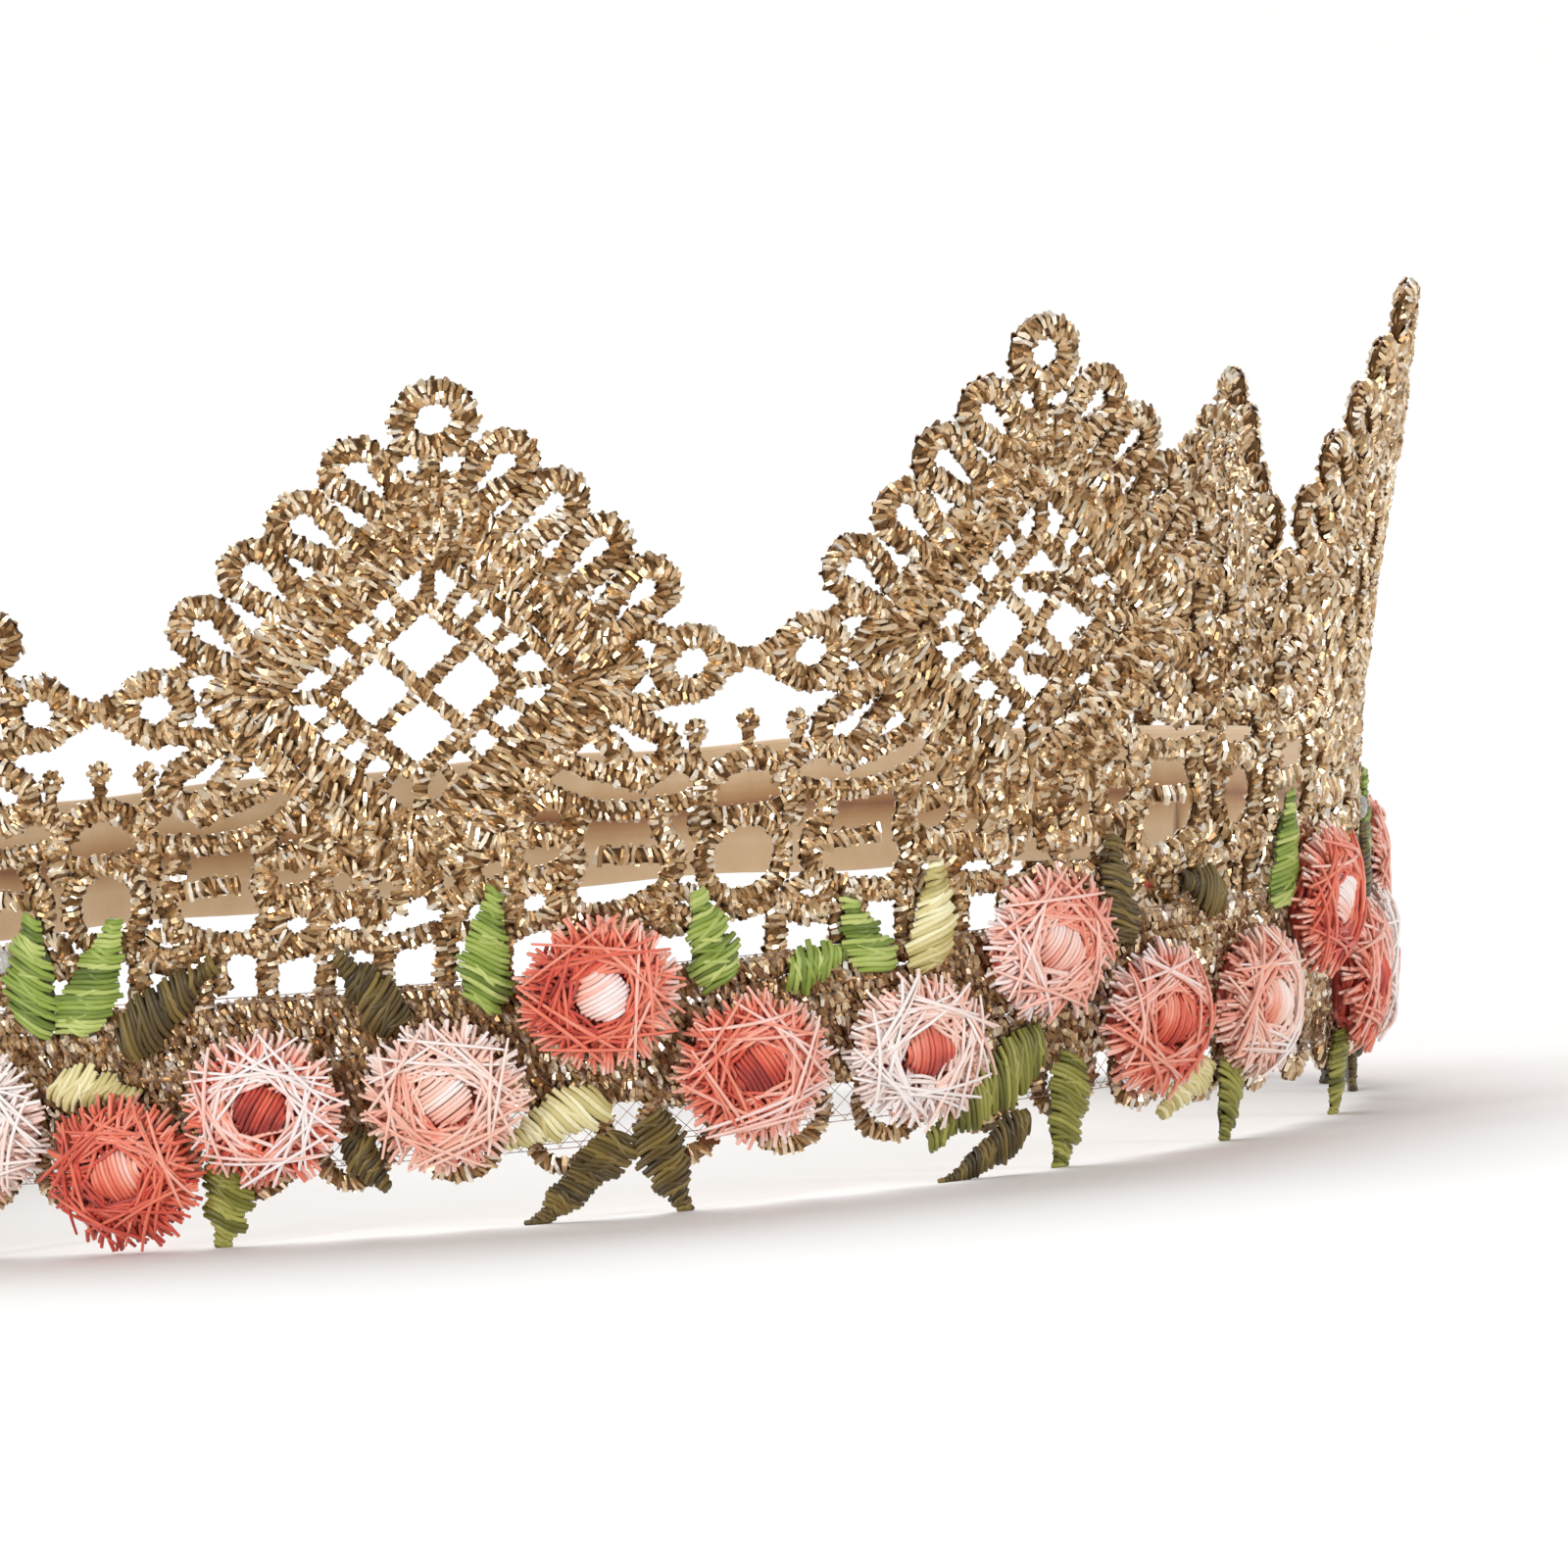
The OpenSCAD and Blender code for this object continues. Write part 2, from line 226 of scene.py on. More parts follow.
def run_tree(name, group, start_mesh, values):
    """Runs a tree on a starting mesh and keeps the plain mesh that it makes."""
    start = show(bpy.data.objects.new(name + "_start", start_mesh))
    modifier = start.modifiers.new("tree", "NODES")
    modifier.node_group = group
    names = {}
    for item in group.interface.items_tree:
        if item.item_type == "SOCKET" and item.in_out == "INPUT":
            names[item.name] = item.identifier
    for label, value in values.items():
        modifier[names[label]] = value
    depsgraph = bpy.context.evaluated_depsgraph_get()
    made = bpy.data.meshes.new_from_object(start.evaluated_get(depsgraph), depsgraph=depsgraph)
    start.modifiers.remove(modifier)
    bpy.data.objects.remove(start)
    made.name = name
    return show(bpy.data.objects.new(name, made))


def plain_mesh(name, verts, faces):
    """A mesh of placed corners and faces."""
    mesh = bpy.data.meshes.new(name)
    mesh.from_pydata([tuple(p) for p in verts], [], faces)
    return mesh


def store(mesh, name, values):
    """Keeps one number for each corner of a mesh."""
    mesh.attributes.new(name, "FLOAT", "POINT").data.foreach_set("value", values)


def wall_faces(rows, sides):
    """The faces between rings of corners, each ring with that many corners."""
    faces = []
    for row in range(rows - 1):
        for k in range(sides):
            j = (k + 1) % sides
            faces.append((row * sides + k, row * sides + j, (row + 1) * sides + j, (row + 1) * sides + k))
    return faces


def lines_mesh(name, lines):
    """A mesh of open or closed lines. A line is (points, closed, numbers at its points by name)."""
    places = []
    edges = []
    numbers = {}
    for points, closed, carries in lines:
        first = len(places)
        places.extend(points)
        edges.extend((first + i, first + i + 1) for i in range(len(points) - 1))
        if closed:
            edges.append((first + len(points) - 1, first))
        for key, value in carries.items():
            values = value if isinstance(value, list) else [value] * len(points)
            numbers.setdefault(key, []).extend(values)
    mesh = bpy.data.meshes.new(name)
    mesh.from_pydata([tuple(p) for p in places], edges, [])
    for key, values in numbers.items():
        store(mesh, key, values)
    return mesh


# ---- Tree: a cord covered in short stitches ----

# A cord's height as a share of its width, how far its stitches slant, and its core's steps in metres.
CORD_ROUND = 0.6
STITCH_SLANT = 0.35
CORE_STEP = 0.0009


def outward(group):
    """The direction out of the leaning wall at each point."""
    place = add(group, "GeometryNodeInputPosition").outputs[0]
    level = vmaths(group, "MULTIPLY", place, (1.0, 1.0, 0.0))
    level = vmaths(group, "NORMALIZE", level)
    level = grow(group, level, math.cos(LEAN))
    return vmaths(group, "ADD", level, (0.0, 0.0, -math.sin(LEAN)))


def stitch_side_tree():
    """Stitches laid across one side of each cord, leaning with its round."""
    group, given = new_tree("stitch_side", [
        ("Stitch", "Object", None), ("Side", "Float", 1.0), ("Step", "Float", 0.0004),
        ("Row", "Float", 0.0011), ("Seed", "Int", 1),
    ])
    side = given.outputs["Side"]

    def luck(low, high, draw):
        """A random number for each stitch; each draw has its own seed."""
        return chance(group, low, high, maths(group, "ADD", given.outputs["Seed"], float(draw)))

    # Where the stitches stand: rows across the cord, from -1 at one edge to 1 at the other.
    dots = add(group, "GeometryNodeCurveToPoints", {
        "Curve": given.outputs["Geometry"], "Length": given.outputs["Step"],
    }, mode="LENGTH")
    wide = carried(group, "wide")
    rows = maths(group, "ROUND", maths(group, "DIVIDE", wide, given.outputs["Row"]))
    rows = maths(group, "MAXIMUM", rows, 1.0)
    twins = add(group, "GeometryNodeDuplicateElements", {
        "Geometry": dots.outputs["Points"], "Amount": rows,
    }, domain="POINT")
    row = maths(group, "ADD", twins.outputs["Duplicate Index"], 0.5)
    place = maths(group, "SUBTRACT", maths(group, "MULTIPLY", maths(group, "DIVIDE", row, rows), 2.0), 1.0)
    place = maths(group, "ADD", place, luck(-0.16, 0.16, 0))
    # How high they lie on the cord's round.
    out = outward(group)
    along = dots.outputs["Tangent"]
    across = vmaths(group, "NORMALIZE", vmaths(group, "CROSS_PRODUCT", out, along))
    half = maths(group, "MULTIPLY", wide, 0.5)
    fall = maths(group, "MULTIPLY", maths(group, "MULTIPLY", place, place), 0.75)
    bulge = maths(group, "SQRT", maths(group, "MAXIMUM", maths(group, "SUBTRACT", 1.0, fall), 0.1))
    height = maths(group, "MULTIPLY", maths(group, "MULTIPLY", half, CORD_ROUND), bulge)
    height = maths(group, "ADD", height, luck(-0.00006, 0.00012, 9))
    height = maths(group, "MULTIPLY", height, side)
    # Which way each one faces and runs.
    up = grow(group, out, maths(group, "MULTIPLY", bulge, side))
    up = vmaths(group, "ADD", up, grow(group, across, maths(group, "MULTIPLY", place, 0.55)))
    up = vmaths(group, "NORMALIZE", up)
    lay = vmaths(group, "NORMALIZE", vmaths(group, "CROSS_PRODUCT", along, up))
    skew = maths(group, "ADD", luck(-0.5, 0.5, 1), STITCH_SLANT)
    lay = vmaths(group, "ADD", lay, grow(group, along, skew))
    lay = vmaths(group, "NORMALIZE", lay)
    tip = vmaths(group, "CROSS_PRODUCT", lay, up)
    up = vmaths(group, "ADD", up, grow(group, tip, luck(-0.55, 0.55, 2)))
    up = vmaths(group, "ADD", up, grow(group, lay, luck(-0.12, 0.12, 3)))
    turn = add(group, "FunctionNodeAxesToRotation", {0: up, 1: lay}, primary_axis="Z", secondary_axis="X")
    shift = grow(group, across, maths(group, "MULTIPLY", place, half))
    shift = vmaths(group, "ADD", shift, grow(group, out, height))
    shift = vmaths(group, "ADD", shift, grow(group, along, luck(-0.00018, 0.00018, 4)))
    moved = add(group, "GeometryNodeSetPosition", {"Geometry": twins.outputs["Geometry"], "Offset": shift})
    # How long and thick each one is, and how bright.
    stitch = add(group, "GeometryNodeObjectInfo", {"Object": given.outputs["Stitch"]}).outputs["Geometry"]
    reach = maths(group, "DIVIDE", wide, rows)
    reach = maths(group, "MULTIPLY", reach, luck(0.85, 1.15, 5))
    girth = maths(group, "MULTIPLY", luck(1.15, 1.75, 6), MM)
    scale = add(group, "ShaderNodeCombineXYZ", {0: reach, 1: girth, 2: girth}).outputs[0]
    laid = add(group, "GeometryNodeInstanceOnPoints", {
        "Points": moved.outputs[0], "Instance": stitch, "Rotation": turn.outputs[0], "Scale": scale,
    })
    tinted = add(group, "GeometryNodeStoreNamedAttribute", {
        "Geometry": laid.outputs[0], "Name": "shade",
        "Value": luck(0.08, 1.0, 7),
    }, data_type="FLOAT", domain="INSTANCE")
    add(group, "NodeGroupOutput", {"Geometry": tinted.outputs[0]})
    return group


def stitched_cord_tree(side_tree):
    """Cords with a plain core, given the darkest shade as painted shade between the stitches, and stitches on
    their outer and inner sides.
    """
    group, given = new_tree("stitched_cord", [
        ("Stitch", "Object", None), ("Step Outside", "Float", 0.0004), ("Step Inside", "Float", 0.0006),
        ("Row", "Float", 0.0011), ("Seed", "Int", 1), ("Finish", "Material", None),
    ])
    cord = add(group, "GeometryNodeMeshToCurve", {"Mesh": given.outputs["Geometry"]}).outputs[0]
    sides = []
    for side, step, shift in ((1.0, "Step Outside", 0.0), (-1.0, "Step Inside", 50.0)):
        node = add(group, "GeometryNodeGroup")
        node.node_tree = side_tree
        wire(group, cord, node.inputs["Geometry"])
        wire(group, side, node.inputs["Side"])
        wire(group, given.outputs[step], node.inputs["Step"])
        wire(group, maths(group, "ADD", given.outputs["Seed"], shift), node.inputs["Seed"])
        for label in ("Stitch", "Row"):
            wire(group, given.outputs[label], node.inputs[label])
        sides.append(node.outputs[0])
    even = add(group, "GeometryNodeResampleCurve", {"Curve": cord, "Length": CORE_STEP}, mode="LENGTH")
    even = add(group, "GeometryNodeSetCurveNormal", {
        "Curve": even.outputs[0], "Normal": outward(group),
    }, mode="FREE")
    ring = add(group, "GeometryNodeCurvePrimitiveCircle", {"Resolution": 6, "Radius": 1.0}).outputs[0]
    ring = add(group, "GeometryNodeTransform", {"Geometry": ring, "Scale": (CORD_ROUND, 1.0, 1.0)}).outputs[0]
    core = add(group, "GeometryNodeCurveToMesh", {
        "Curve": even.outputs[0], "Profile Curve": ring, "Fill Caps": True,
        "Scale": maths(group, "MULTIPLY", carried(group, "wide"), 0.44),
    }).outputs[0]
    # The core gets shade 0, the darkest brown of the gold ramp: painted shade in the gaps between the
    # stitches.
    core = add(group, "GeometryNodeStoreNamedAttribute", {"Geometry": core, "Name": "shade", "Value": 0.0},
               data_type="FLOAT", domain="POINT").outputs[0]
    both = add(group, "GeometryNodeJoinGeometry")
    for part in (core, sides[0], sides[1]):
        group.links.new(part, both.inputs[0])
    close_tree(group, both.outputs[0], given.outputs["Finish"])
    return group


def stitch_shape():
    """One stitch, a millimetre long before it is scaled: a ridge that tapers and bends down at its ends."""
    verts = []
    for x, girth, drop in ((-0.5, 0.6, -0.12), (0.0, 1.0, 0.0), (0.5, 0.6, -0.12)):
        verts.append((x, -0.21 * girth, drop - 0.1))
        verts.append((x, 0.03, drop + 0.12 * girth))
        verts.append((x, 0.21 * girth, drop - 0.1))
    faces = [(0, 2, 1), (6, 7, 8)]
    for k in (0, 3):
        for a, b in ((0, 1), (1, 2), (2, 0)):
            faces.append((k + a, k + b, k + 3 + b, k + 3 + a))
    return bpy.data.objects.new("metallic_stitch", plain_mesh("metallic_stitch", verts, faces))


# ---- Tree: threads that follow lines ----


def thread_tree():
    """Round threads with closed ends, as thick as each line carries."""
    group, given = new_tree("laid_threads", [("Sides", "Int", 5), ("Finish", "Material", None)])
    line = add(group, "GeometryNodeMeshToCurve", {"Mesh": given.outputs["Geometry"]}).outputs[0]
    ring = add(group, "GeometryNodeCurvePrimitiveCircle", {
        "Resolution": given.outputs["Sides"], "Radius": 1.0,
    }).outputs[0]
    tube = add(group, "GeometryNodeCurveToMesh", {
        "Curve": line, "Profile Curve": ring, "Fill Caps": True, "Scale": carried(group, "thick"),
    }).outputs[0]
    smooth = add(group, "GeometryNodeSetShadeSmooth", {"Geometry": tube, "Shade Smooth": True})
    close_tree(group, smooth.outputs[0], given.outputs["Finish"])
    return group


# ---- Materials ----


def ramp(tree, source, stops):
    """A colour from a number, by stops of place and colour."""
    node = add(tree, "ShaderNodeValToRGB", {0: source})
    band = node.color_ramp
    while len(band.elements) < len(stops):
        band.elements.new(0.5)
    for element, (place, colour) in zip(band.elements, stops):
        element.position = place
        element.color = (*colour, 1.0)
    return node.outputs[0]


def noise(tree, place, scale, detail):
    return add(tree, "ShaderNodeTexNoise", {"Vector": place, "Scale": scale, "Detail": detail}).outputs[0]


def set_surface(tree, shader, source, low, high):
    """Roughness between two values by a pattern."""
    rough = add(tree, "ShaderNodeMapRange", {"Value": source, "To Min": low, "To Max": high}).outputs[0]
    wire(tree, rough, shader.inputs["Roughness"])


def set_relief(tree, shader, height, strength, distance):
    relief = add(tree, "ShaderNodeBump", {"Height": height, "Strength": strength, "Distance": distance})
    wire(tree, relief.outputs[0], shader.inputs["Normal"])


def thread_finish(name, stops, sheen=0.0, metallic=0.0, roughness=(0.3, 0.45), bump=0.25):
    """Thread whose colour comes from its own shade, with fine filament relief."""
    made, tree, shader = new_material(name)
    shade = add(tree, "ShaderNodeAttribute", attribute_name="shade").outputs["Fac"]
    place = add(tree, "ShaderNodeTexCoord").outputs["Object"]
    mottle = maths(tree, "SUBTRACT", noise(tree, place, 420.0, 2.0), 0.5)
    mottle = maths(tree, "MULTIPLY", mottle, 0.35)
    wire(tree, ramp(tree, maths(tree, "ADD", shade, mottle), stops), shader.inputs["Base Color"])
    fine = noise(tree, place, 2600.0, 2.0)
    set_surface(tree, shader, fine, *roughness)
    set_relief(tree, shader, fine, bump, 0.0001)
    shader.inputs["Metallic"].default_value = metallic
    shader.inputs["Sheen Weight"].default_value = sheen
    return made


# ---- Lace ----


def smooth_line(points, step=0.8):
    """A smooth line through the points, in short even steps."""
    made = []
    last = len(points) - 1
    for i in range(last):
        p0 = points[max(i - 1, 0)]
        p1 = points[i]
        p2 = points[i + 1]
        p3 = points[min(i + 2, last)]
        count = max(1, round(math.dist(p1, p2) / step))
        for k in range(count):
            t = k / count
            made.append(tuple(
                0.5 * (2 * b + (c - a) * t + (2 * a - 5 * b + 4 * c - d) * t * t
                       + (3 * b - a - 3 * c + d) * t ** 3)
                for a, b, c, d in zip(p0, p1, p2, p3)
            ))
    made.append(tuple(points[-1]))
    return made


def ring(u, v, ru, rv, count=14):
    """The places of a ring round a middle, with two radii."""
    turns = [2 * math.pi * k / count for k in range(count)]
    return [(u + ru * math.cos(t), v + rv * math.sin(t)) for t in turns]


def teardrop(wide_end, narrow_end, r_wide=2.1, r_narrow=1.15, count=12):
    """A loop round a hole that narrows from one end to the other."""
    du = wide_end[0] - narrow_end[0]
    dv = wide_end[1] - narrow_end[1]
    turn = math.atan2(dv, du)
    made = []
    for k in range(count):
        t = 2 * math.pi * (k + 0.5) / count
        middle, r = (wide_end, r_wide) if math.cos(t) > 0 else (narrow_end, r_narrow)
        made.append((middle[0] + r * math.cos(t + turn), middle[1] + r * math.sin(t + turn)))
    return made


def diamond(half, bulge, count=56):
    """A diamond of that half diagonal whose sides bulge a little."""
    made = []
    for k in range(count):
        t = 2 * math.pi * k / count
        r = half / (abs(math.cos(t)) ** bulge + abs(math.sin(t)) ** bulge) ** (1 / bulge)
        made.append((r * math.cos(t), DIAMOND_V + r * math.sin(t)))
    return made


# Closed loops up a point's edge: wide end, narrow end.
EDGE_LOOPS = [
    ((6, 67.8), (3.4, 65.2)),
    ((10.1, 63.9), (7.1, 61.2)),
    ((13.9, 59.6), (11.2, 56.8)),
    ((18.1, 55.2), (15.3, 52.5)),
    ((18.9, 41.2), (15.6, 44)),
]
# Open cords on one side of a point: places, width.
SIDE_CORDS = [
    ([(1.5, 60.2), (1.7, 64), (1.4, 67.2)], 1.7),
    ([(3.2, 59.4), (3.6, 62.5), (3.1, 65.4)], 1.7),
    ([(5.2, 57.5), (6.0, 60.2), (6.2, 62.6)], 1.7),
    ([(20.6, 51.0), (18.3, 51.9), (15.8, 51.5)], 1.7),
    ([(20.8, 45.9), (18.4, 45.4), (15.6, 45.3)], 1.9),
    ([(22.9, 50.9), (24.6, 49.6), (26.6, 48.7)], 1.5),
    ([(22.9, 46.1), (24.8, 47.2), (26.6, 48.2)], 1.5),
    ([(25.5, 48.5), (27.5, 48.4)], 1.7),
    ([(10.4, 42.2), (13, 40.5), (16, 39.3), (18.6, 38.3)], 1.7),
    ([(8.6, 40.2), (11, 38), (13.8, 36.5), (17.5, 35.9), (21.5, 36.3), (24, 36.8)], 1.8),
    ([(18.4, 39.6), (20.8, 40), (23.2, 38.9), (24.2, 37)], 1.9),
    ([(21.8, 31.4), (18.6, 31.9), (15.3, 32.1)], 1.5),
    ([(13.7, 36.2), (12.9, 34), (13.4, 31.8), (12.4, 29.6), (13.6, 27.4)], 1.7),
    ([(12.4, 27.6), (15, 26.9), (18, 27.3), (20.6, 28.4)], 1.9),
    ([(20.5, 36.2), (20.2, 34.2), (21.6, 32.2), (21.4, 29.8), (20.2, 27.6), (20.8, 25)], 1.9),
    ([(16.6, 26.8), (17.2, 25), (16.6, 23)], 1.7),
    ([(7.8, 38.4), (8.2, 36.2), (7.4, 34), (8.2, 31.6), (7.7, 29.8)], 1.7),
    ([(4.2, 37.2), (4.6, 34.6), (3.8, 32.4), (4.4, 29.8), (3.2, 27.6)], 1.9),
    ([(1.4, 37.4), (1.8, 34.4), (1.2, 31.6), (1.8, 29)], 1.9),
    ([(3.6, 35.8), (6.2, 34.2), (8.6, 34.4)], 1.6),
    ([(2, 29.3), (5, 29.9), (8, 30.2), (10.2, 30.4)], 1.6),
    ([(2.6, 25.7), (2.7, 23.4), (2.5, 21.6)], 2.0),
    ([(7.5, 25.7), (7.4, 23.4), (7.6, 21.6)], 1.9),
    ([(12.6, 25.9), (12.7, 23.4), (12.5, 21.6)], 2.0),
    ([(18.5, 25.9), (18.6, 23.4), (18.4, 21.6)], 2.2),
    ([(24.5, 25.9), (24.5, 23.4), (24.6, 21.6)], 2.0),
    ([(5, 57), (6.4, 58.8)], 1.6),
]
# Rings round small holes on one side of a point: middle, radii, width.
SIDE_RINGS = [
    ((22.2, 48.5), 2.55, 2.45, 2.2),
    ((10.6, 35.9), 1.9, 1.8, 1.6),
    ((10.3, 32.8), 2.5, 2.0, 1.7),
    ((6.3, 31.6), 1.7, 1.6, 1.5),
    ((5.6, 27.9), 2.5, 1.6, 1.6),
    ((10.1, 28.4), 1.7, 1.6, 1.5),
    ((21.9, 26.7), 1.8, 1.6, 1.5),
]


# The rows of cord in the diamond's frame: half diagonal, how much its sides bulge.
DIAMOND_FRAME = ((12.1, 1.06), (13.3, 1.1), (14.5, 1.14), (15.7, 1.18), (16.9, 1.2), (18.2, 1.06))
# Heights of the rows behind the trim.
FOOT_ROWS = (20.9, 19.0, 17.1, 15.2, 13.3, 11.5)
# How each lace point stands by itself, for every millimetre up: sideways, taller, outward.
POINT_SWAY = {1: 0.02, 2: -0.03, 3: 0.05, 4: 0.11, 5: 0.045, 6: 0.03, 7: -0.02}
POINT_STRETCH = {1: -0.12, 3: -0.01, 5: 0.022, 7: -0.24}
POINT_FLARE = {1: 0.02, 2: 0.07, 3: 0.015, 5: 0.01, 6: 0.125}
STANDING_V = 36.0
# The last point also turns about its own middle as it rises.
TWISTED_POINT = 7
TWIST = 0.36
TWIST_RUN = 10.0


def eased(table, u):
    """A table's value at any place along the lace, eased from one point to the next."""
    k = u / PITCH + MIDDLE_POINT
    low = math.floor(k)
    share = k - low
    share = share * share * (3 - 2 * share)
    return table.get(low, 0.0) * (1 - share) + table.get(low + 1, 0.0) * share


class Cords:
    """The cords of one lace point, in the order they are laid."""

    def __init__(self):
        self.lines = []

    def lay(self, points, width, closed=False):
        self.lines.append((points, width, closed))

    def lay_both(self, points, width, closed=False):
        self.lay(points, width, closed)
        self.lay([(-u, v) for u, v in points], width, closed)


def lay_point(cords):
    """The loops up a point's edge and the diamond inside it."""
    cords.lay(ring(0, 72.1, 2.65, 2.5), 2.6, True)
    cords.lay(smooth_line([(0, 61), (0.1, 65), (0, 69)]), 2.2)
    for ends in EDGE_LOOPS:
        cords.lay_both(teardrop(*ends), 2.5, True)
    for half, bulge in DIAMOND_FRAME:
        cords.lay(diamond(half, bulge), 1.55, True)
    cords.lay(diamond(7.7, 1.05), 1.9, True)
    for across, up in ((0, 1), (0, -1), (1, 0), (-1, 0)):
        cords.lay([(across * 8.2, DIAMOND_V + up * 8.2), (across * 12.0, DIAMOND_V + up * 12.0)], 1.5)
    cords.lay_both(smooth_line([(2.1, 70.0), (3.4, 68.8), (4.6, 68.6)]), 1.9)
    for reach in (4.3, -4.3):
        cords.lay([(-4.3, DIAMOND_V - reach), (0, DIAMOND_V), (4.3, DIAMOND_V + reach)], 1.4)
    for side in (1, -1):
        for level in (1, -1):
            for t in (0.2, 0.4, 0.6, 0.8):
                inner = (side * 8.4 * t, DIAMOND_V + level * 8.4 * (1 - t))
                outer = (inner[0] + side * 2.6 * (0.4 + t * 0.5), inner[1] + level * 2.6 * (0.9 - t * 0.5))
                cords.lay([inner, outer], 1.15)


def lay_valley(cords):
    """Half of the arch, the oval and the small buds of the valley on each side."""
    for side in (1, -1):
        turns = [t * math.pi / 16 for t in range(-2, 9)]
        arch = [(side * (27.4 - 4.3 * math.cos(t)), 35.3 + 4.4 * math.sin(t)) for t in turns]
        cords.lay(arch, 2.3)
        cords.lay([(side * u, v) for u, v in smooth_line([(24, 35.4), (25.6, 34.9), (27.4, 34.8)])], 1.6)
        turns = [t * math.pi / 10 for t in range(11)]
        cords.lay([(side * (27.4 - 3.4 * math.sin(t)), 31 + 3.7 * math.cos(t)) for t in turns], 2.1)
        cords.lay([(side * u, v) for u, v in smooth_line([(24.2, 38.6), (23.0, 40.2), (23.1, 41.9)])], 1.2)
        cords.lay(ring(side * 23.1, 42.5, 0.65, 0.7, 8), 0.9, True)
        turns = [t * math.pi / 5 for t in range(6)]
        cords.lay([(side * (27.4 - 0.65 * math.sin(t)), 42.9 + 0.7 * math.cos(t)) for t in turns], 0.9)
    cords.lay([(-27.4, 39.4), (-27.4, 42.4)], 1.2)


def lay_foot(cords):
    """The rows that carry the trim and the loops along the lower edge."""
    cords.lay([(u * PITCH / 48, 26.4 + 0.5 * math.sin(u * 0.8)) for u in range(-24, 25)], 1.9)
    for v in FOOT_ROWS:
        cords.lay([(u * PITCH / 24, v + 0.15 * math.sin(u * 1.3 + v)) for u in range(-12, 13)], 2.45)
    cords.lay([(u * PITCH / 48, 10.4 + 0.5 * math.cos(u * math.pi / 4)) for u in range(-24, 25)], 1.9)
    for i in range(-3, 3):
        cords.lay(ring((i + 0.5) * PITCH / 6, 7.75, 3.05, 2.95), 1.75, True)


def standing_place(k, u, v, out, du, dv):
    """A place on one lace point, moved by du and dv, once the point sways, stretches, flares and twists."""
    whole = (k - MIDDLE_POINT) * PITCH + u + du
    rise = v + dv
    rise += max(rise - STANDING_V, 0.0) * eased(POINT_STRETCH, whole)
    above = max(rise - STANDING_V, 0.0)
    flare = above * eased(POINT_FLARE, whole)
    if k == TWISTED_POINT:
        flare += TWIST * u * (1 - (u * 2 / PITCH) ** 4) * min(1.0, above / TWIST_RUN)
    return on_crown(whole + eased(POINT_SWAY, whole) * (rise - DIAMOND_V), rise, out + flare)


def lace_lines(k):
    """The cords of one lace point and half of the valley on each side of it, none quite in its place."""
    cords = Cords()
    lay_point(cords)
    for points, width in SIDE_CORDS:
        cords.lay_both(smooth_line(points), width * 1.15)
    for middle, ru, rv, width in SIDE_RINGS:
        cords.lay_both(ring(*middle, ru, rv), width * 1.15, True)
    lay_valley(cords)
    lay_foot(cords)
    rng = random.Random(40 + k)
    made = []
    for points, width, closed in cords.lines:
        du = rng.uniform(-0.18, 0.18)
        dv = rng.uniform(-0.18, 0.18)
        out = LACE_WALL / 2 + rng.uniform(-0.12, 0.12)
        placed = []
        for u, v in points:
            loose = max(min(1.0, (PITCH / 2 - abs(u)) / 2), 0.0)
            placed.append(standing_place(k, u, v, out, du * loose, dv * loose))
        made.append((placed, closed, {"wide": width * MM}))
    return made


def build_lace():
    group = stitched_cord_tree(stitch_side_tree())
    stitch = stitch_shape()
    gold = thread_finish("gold_metallic_thread", [
        (0.0, (0.12, 0.06, 0.022)), (0.1, (0.27, 0.145, 0.06)), (0.3, (0.51, 0.33, 0.165)),
        (0.6, (0.73, 0.54, 0.33)), (0.85, (0.85, 0.72, 0.54)), (1.0, (0.93, 0.87, 0.78)),
    ], metallic=0.85, roughness=(0.22, 0.4), bump=0.15)
    for k in range(1, POINT_COUNT + 1):
        mesh = lines_mesh("lace_start", lace_lines(k))
        piece = run_tree(f"stitched_lace_{k}", group, mesh, {
            "Stitch": stitch, "Step Outside": 0.00054, "Step Inside": 0.00085, "Row": 0.00125,
            "Seed": 100 * k, "Finish": gold,
        })
        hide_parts(f"lace_point_{k}")
        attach(piece, "crown")


# ---- Rose and leaf trim ----

OUT_OF_TAPE = LACE_WALL + TAPE_T
ROSE_LIFT = LEAF_T + 0.3
ROSE_REPEAT = 41.5
ROSE_STEPS = (0.0, 12.8, 28.0)
ROSES = range(-14, 13)
LOW_ROSE = -3
WEBBED_ROSE = -2
LOW_V = 7.6
MIDDLE_V = 12.5
HIGH_V = 20.5
FIRST_ROSE_U = 12.5


def rose_place(i):
    """Three roses make one repeat: one high, two in the middle. One rose hangs low instead."""
    step = i % 3
    u = FIRST_ROSE_U + (i // 3) * ROSE_REPEAT + ROSE_STEPS[step]
    if i == LOW_ROSE:
        return u, LOW_V
    return u, HIGH_V if step == 0 else MIDDLE_V


def rose_name(i):
    """Roses are numbered from 1, from the lace's left end."""
    return f"rose_{i - ROSES[0] + 1:02d}"


def trim_point(u, v, off):
    """A place on the trim that never sinks below the surface the crown stands on."""
    place = on_crown(u, v, OUT_OF_TAPE + off)
    place.z = max(place.z, 0.0002)
    return place


def bowed(start, end, lift, count, sag=0.0):
    """A thread from one place to another on the flat of a flower, bowed outward and a little sideways."""
    made = []
    side = (-(end[1] - start[1]), end[0] - start[0])
    for k in range(count):
        t = k / (count - 1)
        bow = 4 * t * (1 - t)
        x = start[0] + (end[0] - start[0]) * t + side[0] * sag * bow
        y = start[1] + (end[1] - start[1]) * t + side[1] * sag * bow
        made.append((x, y, start[2] + (end[2] - start[2]) * t + lift * bow))
    return made


